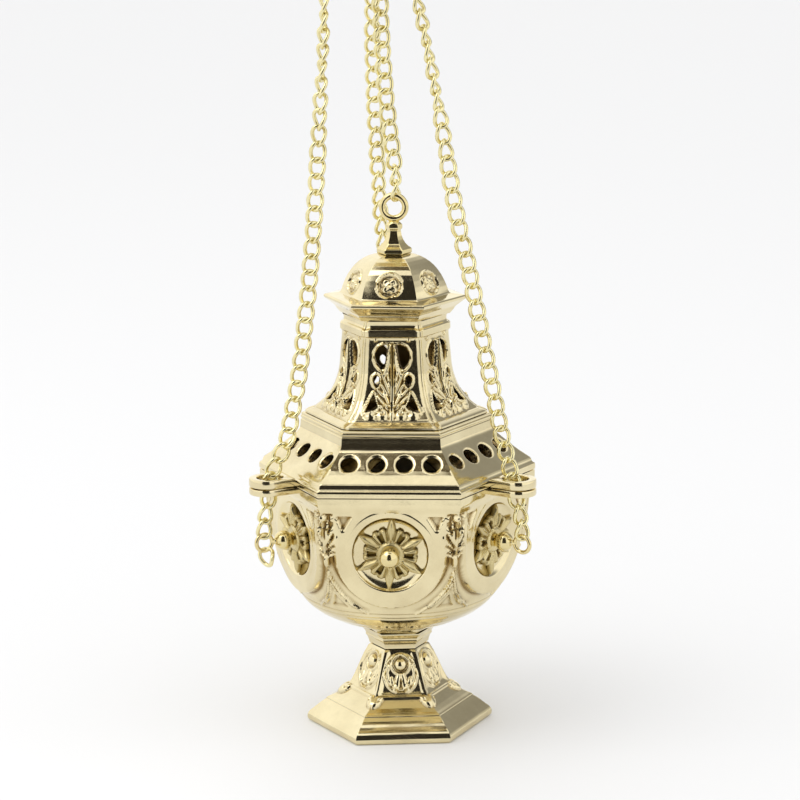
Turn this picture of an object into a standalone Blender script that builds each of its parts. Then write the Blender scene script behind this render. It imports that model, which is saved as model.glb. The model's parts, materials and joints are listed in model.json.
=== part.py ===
"""Thurible censer: a six-sided cast brass incense burner on a foot, with a pierced lid, hung on chains.

Sizes are in millimetres and are scaled to metres as each mesh is made. Heights are above the floor.
A face's azimuth is counted from the front (-Y) towards +X, so the six faces lie at 0, 60, ... 300
degrees and the six edges at 30, 90, ... 330. The hexagon's axis is vertical, a little in front of
the frame's origin, which is below the middle of the whole object.
"""

import math

import bmesh
import bpy
from mathutils import Matrix, Vector

MM = 0.001
GAP = 0.3
APOTHEM = math.cos(math.radians(30))
FACES = {"front": 0, "front_right": 60, "back_right": 120, "back": 180, "back_left": 240, "front_left": 300}
EAR_FACES = {"left": 300, "right": 60, "back": 180}
PLAIN_FACES = {"front": 0, "back_right": 120, "back_left": 240}

# Bowl and lid: radii to the hexagon's edges
PARTING = 121.8
RIM_RADIUS = 63.9
ROUND_SIDES = 24
STEM_HOLE_RADIUS = 3.3

# Ears: loops on the bowl's rim and on the lid's rim that the chains run through
EAR_TIP = 74.0
EAR_HALF_WIDTH = 8.0
EAR_ROOT = 53.8
EAR_SLOT_IN = 63.5
EAR_SLOT_OUT = 65.0
EAR_SLOT_RADIUS = 5.5
BOWL_EAR_THICKNESS = 3.2
LID_EAR_THICKNESS = 4.0

# Medallions on the bowl's faces, with a rosette and a stud in each
MEDALLION_HEIGHT = 95.3
MEDALLION_RADIUS = 22.4
MEDALLION_PLANE = 52.6
MEDALLION_TILT = 3.0
DISH_RADIUS = 17.0
DISH_DEPTH = 1.8
ROSETTE_POINTS = 6
ROSETTE_TIP_RADIUS = 15.6
ROSETTE_WAIST_RADIUS = 12.2
ROSETTE_THICKNESS = 1.9
STUD_RADIUS = 2.0
STUD_HOLE_RADIUS = 2.3
STUD_BALL_RADIUS = 4.45
STUD_BALL_REACH = 58.3
STUD_END = 44.0
STUD_NUT_SEAT = 48.2
STUD_NUT_THICKNESS = 2.8
STUD_NUT_RADIUS = 4.4
EYE_REACH = 67.8
EYE_RADIUS = 3.85
EYE_WIRE = 0.8

# Smoke holes in the lid's skirt: height, places across a face, and radius
SMOKE_HOLE_HEIGHT = 135.5
SMOKE_HOLE_REACH = 44.3
SMOKE_HOLE_PLACES = (-18.6, -6.2, 6.2, 18.6)
SMOKE_HOLE_RADIUS = 4.1
SMOKE_HOLE_TILT = 49.0

# Foot
FOOT_TURN = 6.0
FIXING_RADIUS = 3.0

# Finial
FINIAL_RING_HEIGHT = 244.3
FINIAL_RING_RADIUS = 4.95
FINIAL_RING_WIRE = 1.35

# Chain plate, above the hexagon's axis and a little to the left of it
PLATE_X = -10.0
PLATE_Y = -0.6
PLATE_UNDERSIDE = 356.0
PLATE_THICKNESS = 2.4
PLATE_RADIUS = 27.0
PLATE_EYE_CIRCLE = 22.0
PLATE_SHANK_RADIUS = 1.6
LID_CHAIN_HOLE = (5.2, -10.2)
LID_CHAIN_HOLE_RADIUS = 6.4
HANDLE_EYE_RISE = 5.6
HANDLE_EYE_RADIUS = 3.6
HANDLE_EYE_WIRE = 1.25
HANDLE_RING_RADIUS = 13.0
HANDLE_RING_WIRE = 1.6
PULL_RING_RADIUS = 9.0
PULL_RING_WIRE = 1.3

# Chains: the width of a link, and a route through points on each chain's middle line
CHAIN_DIAMETER = 7.7
CHAIN_STEP = 18.0
CHAIN_ROUTES = {
    "chain_left": [
        (-58.6, -33.9, 104.2), (-57.2, -33.0, 112), (-55.9, -32.3, 119), (-55.2, -31.9, 126.5),
        (-51.8, -29.3, 134), (-48.4, -26.6, 141), (-45.6, -24.4, 155), (-42.2, -21.8, 173),
        (-39.3, -19.6, 197), (-37.0, -17.7, 218), (-34.3, -15.7, 249), (-31.6, -13.6, 291),
        (-29.6, -12.2, 325), (-29.1, -11.6, 344.4),
    ],
    "chain_right": [
        (58.6, -33.9, 104.2), (57.2, -33.0, 112), (55.3, -31.9, 119), (53.9, -31.0, 126.5),
        (49.7, -29.5, 144), (46.4, -28.0, 161), (41.2, -25.7, 187), (35.2, -23.1, 218),
        (28.6, -20.2, 248), (21.4, -17.0, 293), (13.4, -13.6, 334), (9.4, -11.7, 344.4),
    ],
    "chain_back": [
        (0, 67.8, 104.2), (0, 66.0, 112), (-0.4, 64.0, 119), (-1.0, 62.4, 126.5),
        (-3.4, 57.5, 150), (-6.2, 50.4, 185), (-8.3, 43.2, 220), (-9.7, 35.0, 260),
        (-10.4, 27.4, 300), (-10.2, 22.4, 334), (-10.0, 21.5, 344.4),
    ],
    "lid_chain": [
        (1.0, 0, 254.9), (0.7, -0.6, 262), (-0.9, -3.2, 277), (-2.6, -5.4, 295),
        (-3.9, -7.9, 318), (-4.5, -9.8, 340), (-4.8, -10.8, 352), (-4.8, -10.8, 358.6),
    ],
}


def material(name, colour, roughness):
    """A polished metal with one colour."""
    made = bpy.data.materials.new(name)
    made.use_nodes = True
    shader = made.node_tree.nodes["Principled BSDF"]
    shader.inputs["Base Color"].default_value = (*colour, 1.0)
    shader.inputs["Metallic"].default_value = 1.0
    shader.inputs["Roughness"].default_value = roughness
    return made


def finish(obj, metal, parent=None, smooth=True):
    """Gives an object its metal and its parent, and shades its curved stretches smooth."""
    obj.data.materials.append(metal)
    obj.parent = parent
    if smooth and obj.type == "MESH":
        obj.data.shade_smooth()
        obj.data.set_sharp_from_angle(angle=math.radians(35))
    return obj


def mesh_object(name, shape, matrix=None):
    """An object from a bmesh in millimetres, placed by a matrix that is in millimetres too."""
    bmesh.ops.transform(shape, matrix=matrix or Matrix(), verts=shape.verts)
    bmesh.ops.scale(shape, vec=(MM, MM, MM), verts=shape.verts)
    bmesh.ops.recalc_face_normals(shape, faces=shape.faces)
    mesh = bpy.data.meshes.new(name)
    shape.to_mesh(mesh)
    shape.free()
    obj = bpy.data.objects.new(name, mesh)
    bpy.context.scene.collection.objects.link(obj)
    return obj


def helper(obj, parent):
    """Keeps a cutter or a joined-on shape out of the model."""
    obj.parent = parent
    obj.hide_render = True
    obj.display_type = "WIRE"
    return obj


def boolean(obj, other, operation):
    """Joins the other shape on, or cuts it out."""
    step = obj.modifiers.new(other.name, "BOOLEAN")
    step.operation = operation
    step.solver = "EXACT"
    step.object = other


def edge_radius(radius, roundness, azimuth):
    """The distance from the axis of a section that goes from a hexagon (0) to a circle (1)."""
    from_face = (azimuth + 30) % 60 - 30
    hexagon = APOTHEM / math.cos(math.radians(from_face))
    return radius * ((1 - roundness) * hexagon + roundness)


def outward(azimuth):
    """The unit vector that points out of the face at this azimuth."""
    turn = math.radians(azimuth)
    return Vector((math.sin(turn), -math.cos(turn), 0))


def face_matrix(azimuth, reach=0.0, height=0.0, tilt=0.0):
    """Puts local +Z out of a face, local X across it and local Y up it. Tilt turns +Z downwards."""
    place = Matrix.Translation(outward(azimuth) * reach + Vector((0, 0, height)))
    turn = Matrix.Rotation(math.radians(azimuth), 4, "Z")
    stand = Matrix.Rotation(math.radians(90 + tilt), 4, "X")
    return place @ turn @ stand


def section_shape(profile, sides, closed):
    """Sweeps (radius, height, roundness) points round the axis. A closed profile makes a ring."""
    shape = bmesh.new()
    azimuths = [30 + 360 * side / sides for side in range(sides)]
    rows = []
    for radius, height, roundness in profile:
        points = [outward(a) * edge_radius(radius, roundness, a) for a in azimuths]
        rows.append([shape.verts.new((p.x, p.y, height)) for p in points])
    pairs = list(zip(rows, rows[1:]))
    if closed:
        pairs.append((rows[-1], rows[0]))
    else:
        shape.faces.new(rows[0])
        shape.faces.new(rows[-1])
    for low, high in pairs:
        for side in range(sides):
            after = (side + 1) % sides
            shape.faces.new((low[side], low[after], high[after], high[side]))
    return shape


def prism_shape(outline, low, high):
    """Extrudes an outline of (x, y) points between two heights."""
    shape = bmesh.new()
    lower = [shape.verts.new((x, y, low)) for x, y in outline]
    upper = [shape.verts.new((x, y, high)) for x, y in outline]
    shape.faces.new(lower)
    shape.faces.new(upper)
    for side in range(len(outline)):
        after = (side + 1) % len(outline)
        shape.faces.new((lower[side], lower[after], upper[after], upper[side]))
    return shape


def torus_shape(radius, wire, steps=16, sides=6):
    """A ring of wire in the local XY plane."""
    shape = bmesh.new()
    rows = []
    for step in range(steps):
        turn = 2 * math.pi * step / steps
        row = []
        for side in range(sides):
            around = 2 * math.pi * side / sides
            reach = radius + wire * math.cos(around)
            place = (reach * math.cos(turn), reach * math.sin(turn), wire * math.sin(around))
            row.append(shape.verts.new(place))
        rows.append(row)
    for step in range(steps):
        low, high = rows[step], rows[(step + 1) % steps]
        for side in range(sides):
            after = (side + 1) % sides
            shape.faces.new((low[side], low[after], high[after], high[side]))
    return shape


def merged(shapes):
    """Puts several shapes that don't touch into one bmesh."""
    whole = bmesh.new()
    for shape in shapes:
        piece = bpy.data.meshes.new("piece")
        shape.to_mesh(piece)
        shape.free()
        whole.from_mesh(piece)
        bpy.data.meshes.remove(piece)
    return whole


def placed(shape, matrix):
    bmesh.ops.transform(shape, matrix=matrix, verts=shape.verts)
    return shape


def arc(centre_x, centre_y, radius, start, end, steps):
    """Points along an arc, with angles in degrees."""
    points = []
    for step in range(steps + 1):
        turn = math.radians(start + (end - start) * step / steps)
        points.append((centre_x + radius * math.cos(turn), centre_y + radius * math.sin(turn)))
    return points


def ball_profile(centre, radius, start, end, steps=6):
    """(radius, height, roundness) points over a ball. The angle is 0 below the ball and 180 above."""
    points = []
    for step in range(steps + 1):
        turn = math.radians(start + (end - start) * step / steps)
        points.append((radius * math.sin(turn), centre - radius * math.cos(turn), 1))
    return points


def ears_shape(low, high):
    """The three solid tongues on a rim, before their slots are cut."""
    centre = EAR_TIP - EAR_HALF_WIDTH
    outline = arc(0, centre, EAR_HALF_WIDTH, 0, 180, 8)
    outline += [(-EAR_HALF_WIDTH, EAR_ROOT), (EAR_HALF_WIDTH, EAR_ROOT)]
    tongues = []
    for azimuth in EAR_FACES.values():
        turn = Matrix.Rotation(math.radians(azimuth + 180), 4, "Z")
        tongues.append(placed(prism_shape(outline, low, high), turn))
    return merged(tongues)


def ear_slots_shape(low, high):
    """The cutters for the chain slots in the ears."""
    outline = arc(0, EAR_SLOT_OUT, EAR_SLOT_RADIUS, 0, 180, 6)
    outline += arc(0, EAR_SLOT_IN, EAR_SLOT_RADIUS, 180, 360, 6)
    slots = []
    for azimuth in EAR_FACES.values():
        turn = Matrix.Rotation(math.radians(azimuth + 180), 4, "Z")
        slots.append(placed(prism_shape(outline, low, high), turn))
    return merged(slots)


def disc_shape(radius, low, high, sides=24):
    return prism_shape(arc(0, 0, radius, 0, 360 - 360 / sides, sides - 1), low, high)


def make_foot(metal, axis):
    outer = [
        (42.6, 0.0, 0), (43.4, 0.8, 0), (43.4, 2.6, 0), (42.6, 3.4, 0), (38.8, 6.2, 0), (36.2, 7.6, 0),
        (34.2, 9.4, 0), (33.4, 11.0, 0), (31.0, 12.6, 0), (27.4, 15.2, 0), (22.8, 18.8, 0),
        (20.3, 23.6, 0), (18.3, 28.2, 0), (16.1, 33.0, 0), (13.6, 37.4, 0),
    ]
    inner = [
        (STEM_HOLE_RADIUS, 37.4, 1), (STEM_HOLE_RADIUS, 29.0, 1), (13.6, 26.0, 0), (18.0, 18.6, 0),
        (28.0, 11.0, 0), (34.0, 5.2, 0), (38.6, 0.0, 0),
    ]
    foot = mesh_object("foot", section_shape(outer + inner, 12, closed=True))
    foot.rotation_euler.z = math.radians(FOOT_TURN)
    return finish(foot, metal, axis)


def make_stem_collar(metal, axis):
    profile = [
        (STEM_HOLE_RADIUS, 37.7, 1), (13.7, 37.7, 0), (13.9, 39.0, 0), (15.4, 40.2, 0), (15.4, 41.8, 0),
        (14.9, 42.4, 0), (16.2, 43.6, 0), (17.2, 45.9, 0), (STEM_HOLE_RADIUS, 45.9, 1),
    ]
    collar = mesh_object("stem_collar", section_shape(profile, 12, closed=True))
    collar.rotation_euler.z = math.radians(FOOT_TURN)
    return finish(collar, metal, axis)


def make_bowl(metal, axis):
    outer = [
        (STEM_HOLE_RADIUS, 46.2, 1), (15.8, 46.2, 1), (25.0, 49.4, 1), (34.2, 54.0, 1), (42.6, 59.6, 0.95),
        (49.6, 67.6, 0.75), (53.2, 73.6, 0.55), (56.0, 80.5, 0.3), (58.2, 88.0, 0.1), (59.6, 95.4, 0),
        (61.0, 108.0, 0), (62.4, 115.0, 0), (63.6, 117.0, 0), (RIM_RADIUS, 118.0, 0),
        (RIM_RADIUS, PARTING - GAP / 2, 0),
    ]
    inner = [
        (60.6, PARTING - GAP / 2, 0), (58.8, 112.0, 0), (56.3, 95.4, 0), (52.8, 80.5, 0.3),
        (46.4, 67.6, 0.75), (39.6, 61.4, 0.95), (31.6, 56.6, 1), (24.0, 52.6, 1), (17.0, 50.4, 1),
        (STEM_HOLE_RADIUS, 50.4, 1),
    ]
    bowl = mesh_object("bowl", section_shape(outer + inner, ROUND_SIDES, closed=True))
    bosses = []
    cuts = []
    for azimuth in FACES.values():
        face = face_matrix(azimuth, MEDALLION_PLANE, MEDALLION_HEIGHT, MEDALLION_TILT)
        bosses.append(placed(disc_shape(MEDALLION_RADIUS, -4.2, 0), face))
        cuts.append(placed(disc_shape(DISH_RADIUS, -DISH_DEPTH, 4), face))
    hole_faces = [face_matrix(a, 0, MEDALLION_HEIGHT) for a in FACES.values()]
    holes = [placed(disc_shape(STUD_HOLE_RADIUS, 40, 60, 10), face) for face in hole_faces]
    rim_top = PARTING - GAP / 2
    steps = (
        ("bowl_medallions", merged(bosses), "UNION"),
        ("bowl_ears", ears_shape(rim_top - BOWL_EAR_THICKNESS, rim_top), "UNION"),
        ("bowl_dishes", merged(cuts), "DIFFERENCE"),
        ("bowl_stud_holes", merged(holes), "DIFFERENCE"),
        ("bowl_ear_slots", ear_slots_shape(PARTING - 8, PARTING + 3), "DIFFERENCE"),
    )
    for name, shape, operation in steps:
        boolean(bowl, helper(mesh_object(name, shape), axis), operation)
    return finish(bowl, metal, axis)


def make_rosette(name, azimuth, metal, axis):
    """A six-pointed star plate that lies in a medallion's dish."""
    outline = []
    for corner in range(2 * ROSETTE_POINTS):
        turn = math.pi * corner / ROSETTE_POINTS + math.pi / 2
        reach = ROSETTE_WAIST_RADIUS if corner % 2 else ROSETTE_TIP_RADIUS
        outline.append((reach * math.cos(turn), reach * math.sin(turn)))
    seat = GAP - DISH_DEPTH
    face = face_matrix(azimuth, MEDALLION_PLANE, MEDALLION_HEIGHT, MEDALLION_TILT)
    rosette = mesh_object(name, prism_shape(outline, seat, seat + ROSETTE_THICKNESS), face)
    hole = disc_shape(STUD_HOLE_RADIUS, -6, 6, 12)
    cutter = mesh_object(name + "_hole", hole, face_matrix(azimuth, MEDALLION_PLANE, MEDALLION_HEIGHT))
    boolean(rosette, helper(cutter, axis), "DIFFERENCE")
    return finish(rosette, metal, axis, smooth=False)


def stud_shape():
    """A shank and a ball, along local +Z."""
    profile = [(0.4, STUD_END, 1), (STUD_RADIUS, STUD_END + 0.6, 1), (STUD_RADIUS, 54.2, 1)]
    profile += ball_profile(STUD_BALL_REACH, STUD_BALL_RADIUS, 32, 176)
    return section_shape(profile, 12, closed=False)


def make_ball_stud(name, azimuth, metal, axis):
    stud = mesh_object(name, stud_shape(), face_matrix(azimuth, 0, MEDALLION_HEIGHT))
    return finish(stud, metal, axis)


def make_eye_stud(name, azimuth, metal, axis):
    """A ball stud with a neck and an eye ring that stands upright, in line with the shank."""
    face = face_matrix(azimuth, 0, MEDALLION_HEIGHT)
    stud = mesh_object(name, stud_shape(), face)
    neck = mesh_object(name + "_neck", disc_shape(1.3, 61, EYE_REACH - EYE_RADIUS, 10), face)
    upright = face @ Matrix.Translation((0, 0, EYE_REACH)) @ Matrix.Rotation(math.radians(90), 4, "Y")
    eye = mesh_object(name + "_eye", torus_shape(EYE_RADIUS, EYE_WIRE), upright)
    boolean(stud, helper(neck, axis), "UNION")
    boolean(stud, helper(eye, axis), "UNION")
    return finish(stud, metal, axis)


def nut_shape(radius, hole, low, high):
    profile = [(hole, low, 1), (radius, low, 0), (radius, high, 0), (hole, high, 1)]
    return section_shape(profile, 12, closed=True)


def make_stud_nut(name, azimuth, metal, axis):
    low = STUD_NUT_SEAT - STUD_NUT_THICKNESS
    shape = nut_shape(STUD_NUT_RADIUS, STUD_HOLE_RADIUS, low, STUD_NUT_SEAT)
    return finish(mesh_object(name, shape, face_matrix(azimuth, 0, MEDALLION_HEIGHT)), metal, axis, False)


def make_fixing(metal, axis):
    """The bolt that clamps the foot, the collar and the bowl together, with its washer and nut."""
    head_top = 25.6
    profile = [
        (5.4, head_top - 3.6, 0), (5.4, head_top, 0), (FIXING_RADIUS, head_top, 1),
        (FIXING_RADIUS, 56.0, 1), (2.4, 56.5, 1),
    ]
    bolt = mesh_object("fixing_bolt", section_shape(profile, 12, closed=False))
    finish(bolt, metal, axis)
    washer = mesh_object("fixing_washer", nut_shape(8.4, STEM_HOLE_RADIUS, 50.7, 51.9))
    finish(washer, metal, axis, smooth=False)
    nut = mesh_object("fixing_nut", nut_shape(5.6, STEM_HOLE_RADIUS, 52.2, 55.8))
    finish(nut, metal, axis, smooth=False)


def make_charcoal_cup(metal, axis):
    """A thin round cup that stands on a base ring on the bowl's floor."""
    profile = [
        (2.0, 57.0, 1), (15.2, 57.0, 1), (15.6, 50.7, 1), (16.8, 50.7, 1), (17.4, 55.4, 1), (27.6, 58.6, 1),
        (34.4, 66.0, 1), (38.0, 80.0, 1), (38.8, 103.0, 1), (42.2, 105.4, 1), (42.2, 106.6, 1),
        (40.4, 106.6, 1), (37.6, 104.0, 1), (36.8, 80.4, 1), (33.4, 66.8, 1), (27.0, 60.0, 1), (2.0, 58.4, 1),
    ]
    cup = mesh_object("charcoal_cup", section_shape(profile, ROUND_SIDES, closed=False))
    return finish(cup, metal, axis)


def make_lid_skirt(metal, lid):
    outer = [
        (56.4, 119.2, 0), (59.9, 119.2, 0), (59.9, 121.95, 0), (RIM_RADIUS, 121.95, 0), (64.2, 122.6, 0),
        (63.6, 124.6, 0), (61.6, 126.2, 0), (61.2, 127.2, 0), (59.8, 129.6, 0), (51.2, 135.5, 0),
        (45.4, 140.5, 0), (44.0, 141.6, 0), (44.2, 146.6, 0), (43.4, 148.8, 0),
    ]
    inner = [
        (32.0, 148.8, 0), (32.0, 146.4, 0), (40.6, 145.6, 0), (40.8, 140.6, 0), (47.0, 135.2, 0),
        (55.4, 129.4, 0), (56.4, 126.0, 0),
    ]
    skirt = mesh_object("lid_skirt", section_shape(outer + inner, 6, closed=True))
    low = PARTING + GAP / 2
    holes = []
    for azimuth in FACES.values():
        for across in SMOKE_HOLE_PLACES:
            hole = disc_shape(SMOKE_HOLE_RADIUS, -9, 9, 10)
            lie = Matrix.Rotation(-math.radians(SMOKE_HOLE_TILT), 4, "X")
            face = face_matrix(azimuth, SMOKE_HOLE_REACH, SMOKE_HOLE_HEIGHT)
            holes.append(placed(hole, face @ Matrix.Translation((across, 0, 0)) @ lie))
    steps = (
        ("lid_ears", ears_shape(low, low + LID_EAR_THICKNESS), "UNION"),
        ("lid_smoke_holes", merged(holes), "DIFFERENCE"),
        ("lid_ear_slots", ear_slots_shape(PARTING - 3, PARTING + 8), "DIFFERENCE"),
    )
    for name, shape, operation in steps:
        boolean(skirt, helper(mesh_object(name, shape), lid), operation)
    return finish(skirt, metal, lid, smooth=False)


def tower_openings():
    """The openings in one tower face, as (x, z) outlines on the left of the leaf."""
    upper = arc(-5.6, 176.6, 3.6, -20, 200, 5) + [(-6.0, 166.6), (-3.4, 167.4)]
    middle = [(-4.2, 164.6), (-7.4, 165.6), (-8.6, 162.6), (-6.0, 160.6)]
    lower = [(-6.4, 158.6), (-9.2, 160.6), (-12.0, 155.0), (-7.4, 154.2)]
    return upper, middle, lower


def make_lid_tower(metal, lid):
    outer = [
        (43.0, 149.1, 0), (43.0, 150.0, 0), (38.6, 151.8, 0), (34.2, 155.2, 0), (30.7, 159.7, 0),
        (28.3, 165.1, 0), (26.7, 171.4, 0), (25.9, 178.6, 0), (25.2, 185.8, 0), (25.3, 188.0, 0),
        (25.9, 189.2, 0), (25.9, 191.4, 0), (24.3, 193.4, 0), (25.2, 195.4, 0),
    ]
    inner = [
        (22.4, 195.4, 0), (22.2, 186.0, 0), (22.9, 178.6, 0), (23.6, 171.4, 0), (25.2, 165.6, 0),
        (27.6, 160.6, 0), (31.2, 155.6, 0), (32.0, 149.1, 0),
    ]
    tower = mesh_object("lid_tower", section_shape(outer + inner, 6, closed=True))
    cuts = []
    for azimuth in FACES.values():
        face = face_matrix(azimuth)
        for outline in tower_openings():
            for side in (1, -1):
                mirrored = [(side * x, z) for x, z in outline]
                cuts.append(placed(prism_shape(mirrored, 14, 40), face))
    boolean(tower, helper(mesh_object("tower_openings", merged(cuts)), lid), "DIFFERENCE")
    return finish(tower, metal, lid, smooth=False)


def make_lid_dome(metal, lid):
    profile = [
        (STUD_HOLE_RADIUS, 223.1, 1), (8.2, 223.1, 0), (11.8, 222.2, 0), (16.3, 219.4, 0), (19.8, 215.8, 0),
        (22.6, 210.8, 0), (24.6, 205.4, 0), (32.2, 204.4, 0), (32.9, 203.2, 0), (32.0, 202.2, 0),
        (28.0, 199.2, 0), (25.4, 195.7, 0), (22.6, 195.7, 0), (22.2, 204.6, 0), (20.2, 210.0, 0),
        (17.4, 214.4, 0), (14.6, 217.4, 0), (10.6, 219.8, 0), (STUD_HOLE_RADIUS, 220.6, 1),
    ]
    dome = mesh_object("lid_dome", section_shape(profile, 12, closed=True))
    return finish(dome, metal, lid, smooth=False)


def make_finial(metal, lid):
    profile = [
        (1.4, 212.6, 1), (STUD_RADIUS, 213.2, 1), (STUD_RADIUS, 223.4, 1), (7.9, 223.4, 0.3),
        (7.9, 225.0, 0.3), (5.8, 226.6, 0.6), (4.2, 229.0, 1), (3.0, 231.8, 1), (2.7, 234.2, 1),
        (3.9, 235.4, 1), (4.1, 237.0, 1), (3.4, 238.6, 1), (1.6, 239.6, 1),
    ]
    finial = mesh_object("finial", section_shape(profile, 12, closed=False))
    ring = torus_shape(FINIAL_RING_RADIUS, FINIAL_RING_WIRE, steps=20)
    upright = Matrix.Translation((0, 0, FINIAL_RING_HEIGHT)) @ Matrix.Rotation(math.radians(90), 4, "X")
    boolean(finial, helper(mesh_object("finial_ring", ring, upright), lid), "UNION")
    finish(finial, metal, lid)
    nut = mesh_object("finial_nut", nut_shape(STUD_NUT_RADIUS, STUD_HOLE_RADIUS, 217.0, 220.2))
    finish(nut, metal, lid, smooth=False)


def smooth_route(points, step):
    """Points an even step apart on a smooth curve through the route's points."""
    places = [Vector(point) for point in points]
    ends = [2 * places[0] - places[1], *places, 2 * places[-1] - places[-2]]
    fine = []
    for before, start, end, after in zip(ends, ends[1:], ends[2:], ends[3:]):
        for part in range(24):
            t = part / 24
            curve = (
                2 * start
                + (end - before) * t
                + (2 * before - 5 * start + 4 * end - after) * t**2
                + (3 * start - before - 3 * end + after) * t**3
            )
            fine.append(curve / 2)
    fine.append(places[-1])
    length = sum((b - a).length for a, b in zip(fine, fine[1:]))
    spacing = length / max(2, round(length / step))
    route = [fine[0]]
    run = 0.0
    for a, b in zip(fine, fine[1:]):
        run += (b - a).length
        if run >= spacing * len(route) - 1e-6:
            route.append(b)
    route[-1] = fine[-1]
    return route


def make_chain(name, metal, parent):
    """A chain as the plain tube that its links fill."""
    curve = bpy.data.curves.new(name, "CURVE")
    curve.dimensions = "3D"
    curve.bevel_depth = CHAIN_DIAMETER / 2 * MM
    curve.bevel_resolution = 2
    curve.use_fill_caps = True
    curve.render_resolution_u = 0
    route = smooth_route(CHAIN_ROUTES[name], CHAIN_STEP)
    spline = curve.splines.new("POLY")
    spline.points.add(len(route) - 1)
    for point, place in zip(spline.points, route):
        point.co = (*(place * MM), 1)
    chain = bpy.data.objects.new(name, curve)
    bpy.context.scene.collection.objects.link(chain)
    return finish(chain, metal, parent)


def plate_matrix(x=0.0, y=0.0, height=0.0):
    """Places a shape by its distance from the plate's centre, on the plate's underside."""
    return Matrix.Translation((PLATE_X + x, PLATE_Y + y, PLATE_UNDERSIDE + height))


def make_chain_plate(metal, axis):
    profile = [
        (PLATE_SHANK_RADIUS + GAP, 0, 1), (PLATE_RADIUS - 0.8, 0, 1), (PLATE_RADIUS, 0.8, 1),
        (PLATE_RADIUS, 1.6, 1), (PLATE_RADIUS - 0.8, PLATE_THICKNESS, 1),
        (PLATE_SHANK_RADIUS + GAP, PLATE_THICKNESS, 1),
    ]
    plate = mesh_object("chain_plate", section_shape(profile, ROUND_SIDES, closed=True), plate_matrix())
    holes = [placed(disc_shape(LID_CHAIN_HOLE_RADIUS, -2, 6, 16), plate_matrix(*LID_CHAIN_HOLE))]
    for azimuth in EAR_FACES.values():
        place = outward(azimuth) * PLATE_EYE_CIRCLE
        hole = disc_shape(PLATE_SHANK_RADIUS + GAP, -2, 6, 10)
        holes.append(placed(hole, plate_matrix(place.x, place.y)))
    boolean(plate, helper(mesh_object("plate_holes", merged(holes)), axis), "DIFFERENCE")
    return finish(plate, metal, axis)


def make_plate_eye(name, azimuth, metal, axis):
    """A riveted eye that hangs under the plate and takes a chain's last link."""
    place = outward(azimuth) * PLATE_EYE_CIRCLE
    at = plate_matrix(place.x, place.y)
    profile = [
        (1.3, -2.6, 1), (3.2, -2.0, 1), (3.2, -0.3, 1), (PLATE_SHANK_RADIUS, -0.3, 1),
        (PLATE_SHANK_RADIUS, 2.7, 1), (3.0, 2.7, 1), (2.4, 3.8, 1), (0.8, 4.2, 1),
    ]
    eye = mesh_object(name, section_shape(profile, 12, closed=False), at)
    turn = Matrix.Rotation(math.radians(azimuth + 90), 4, "Z") @ Matrix.Rotation(math.radians(90), 4, "X")
    hang = at @ Matrix.Translation((0, 0, -2.0 - EYE_RADIUS)) @ turn
    ring = mesh_object(name + "_ring", torus_shape(EYE_RADIUS, 0.95), hang)
    boolean(eye, helper(ring, axis), "UNION")
    return finish(eye, metal, axis)


def make_handle_eye(metal, axis):
    """The eye bolt in the middle of the plate, with its nut below."""
    eye_height = PLATE_THICKNESS + HANDLE_EYE_RISE
    profile = [
        (1.0, -4.6, 1), (PLATE_SHANK_RADIUS, -4.2, 1), (PLATE_SHANK_RADIUS, PLATE_THICKNESS + 0.3, 1),
        (3.4, PLATE_THICKNESS + 0.3, 1), (3.0, PLATE_THICKNESS + 1.4, 1), (1.2, PLATE_THICKNESS + 1.9, 1),
    ]
    eye = mesh_object("handle_eye", section_shape(profile, 12, closed=False), plate_matrix())
    stand = plate_matrix(height=eye_height) @ Matrix.Rotation(math.radians(90), 4, "Y")
    ring = mesh_object("handle_eye_ring", torus_shape(HANDLE_EYE_RADIUS, HANDLE_EYE_WIRE), stand)
    boolean(eye, helper(ring, axis), "UNION")
    finish(eye, metal, axis)
    nut = mesh_object("handle_nut", nut_shape(3.9, PLATE_SHANK_RADIUS + GAP, -3.3, -0.3), plate_matrix())
    finish(nut, metal, axis, smooth=False)


def make_ring_on_pivot(name, pivot, lie, radius, wire, metal, parent):
    """A ring whose origin is on the middle line of its wire, where it turns in what holds it."""
    shape = placed(torus_shape(radius, wire, steps=24), Matrix.Translation((0, radius, 0)))
    ring = mesh_object(name, shape, Matrix.Rotation(math.radians(lie), 4, "X"))
    ring.location = Vector(pivot) * MM
    return finish(ring, metal, parent)


def empty(name, location, parent=None):
    made = bpy.data.objects.new(name, None)
    made.location = Vector(location) * MM
    made.parent = parent
    bpy.context.scene.collection.objects.link(made)
    return made


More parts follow.
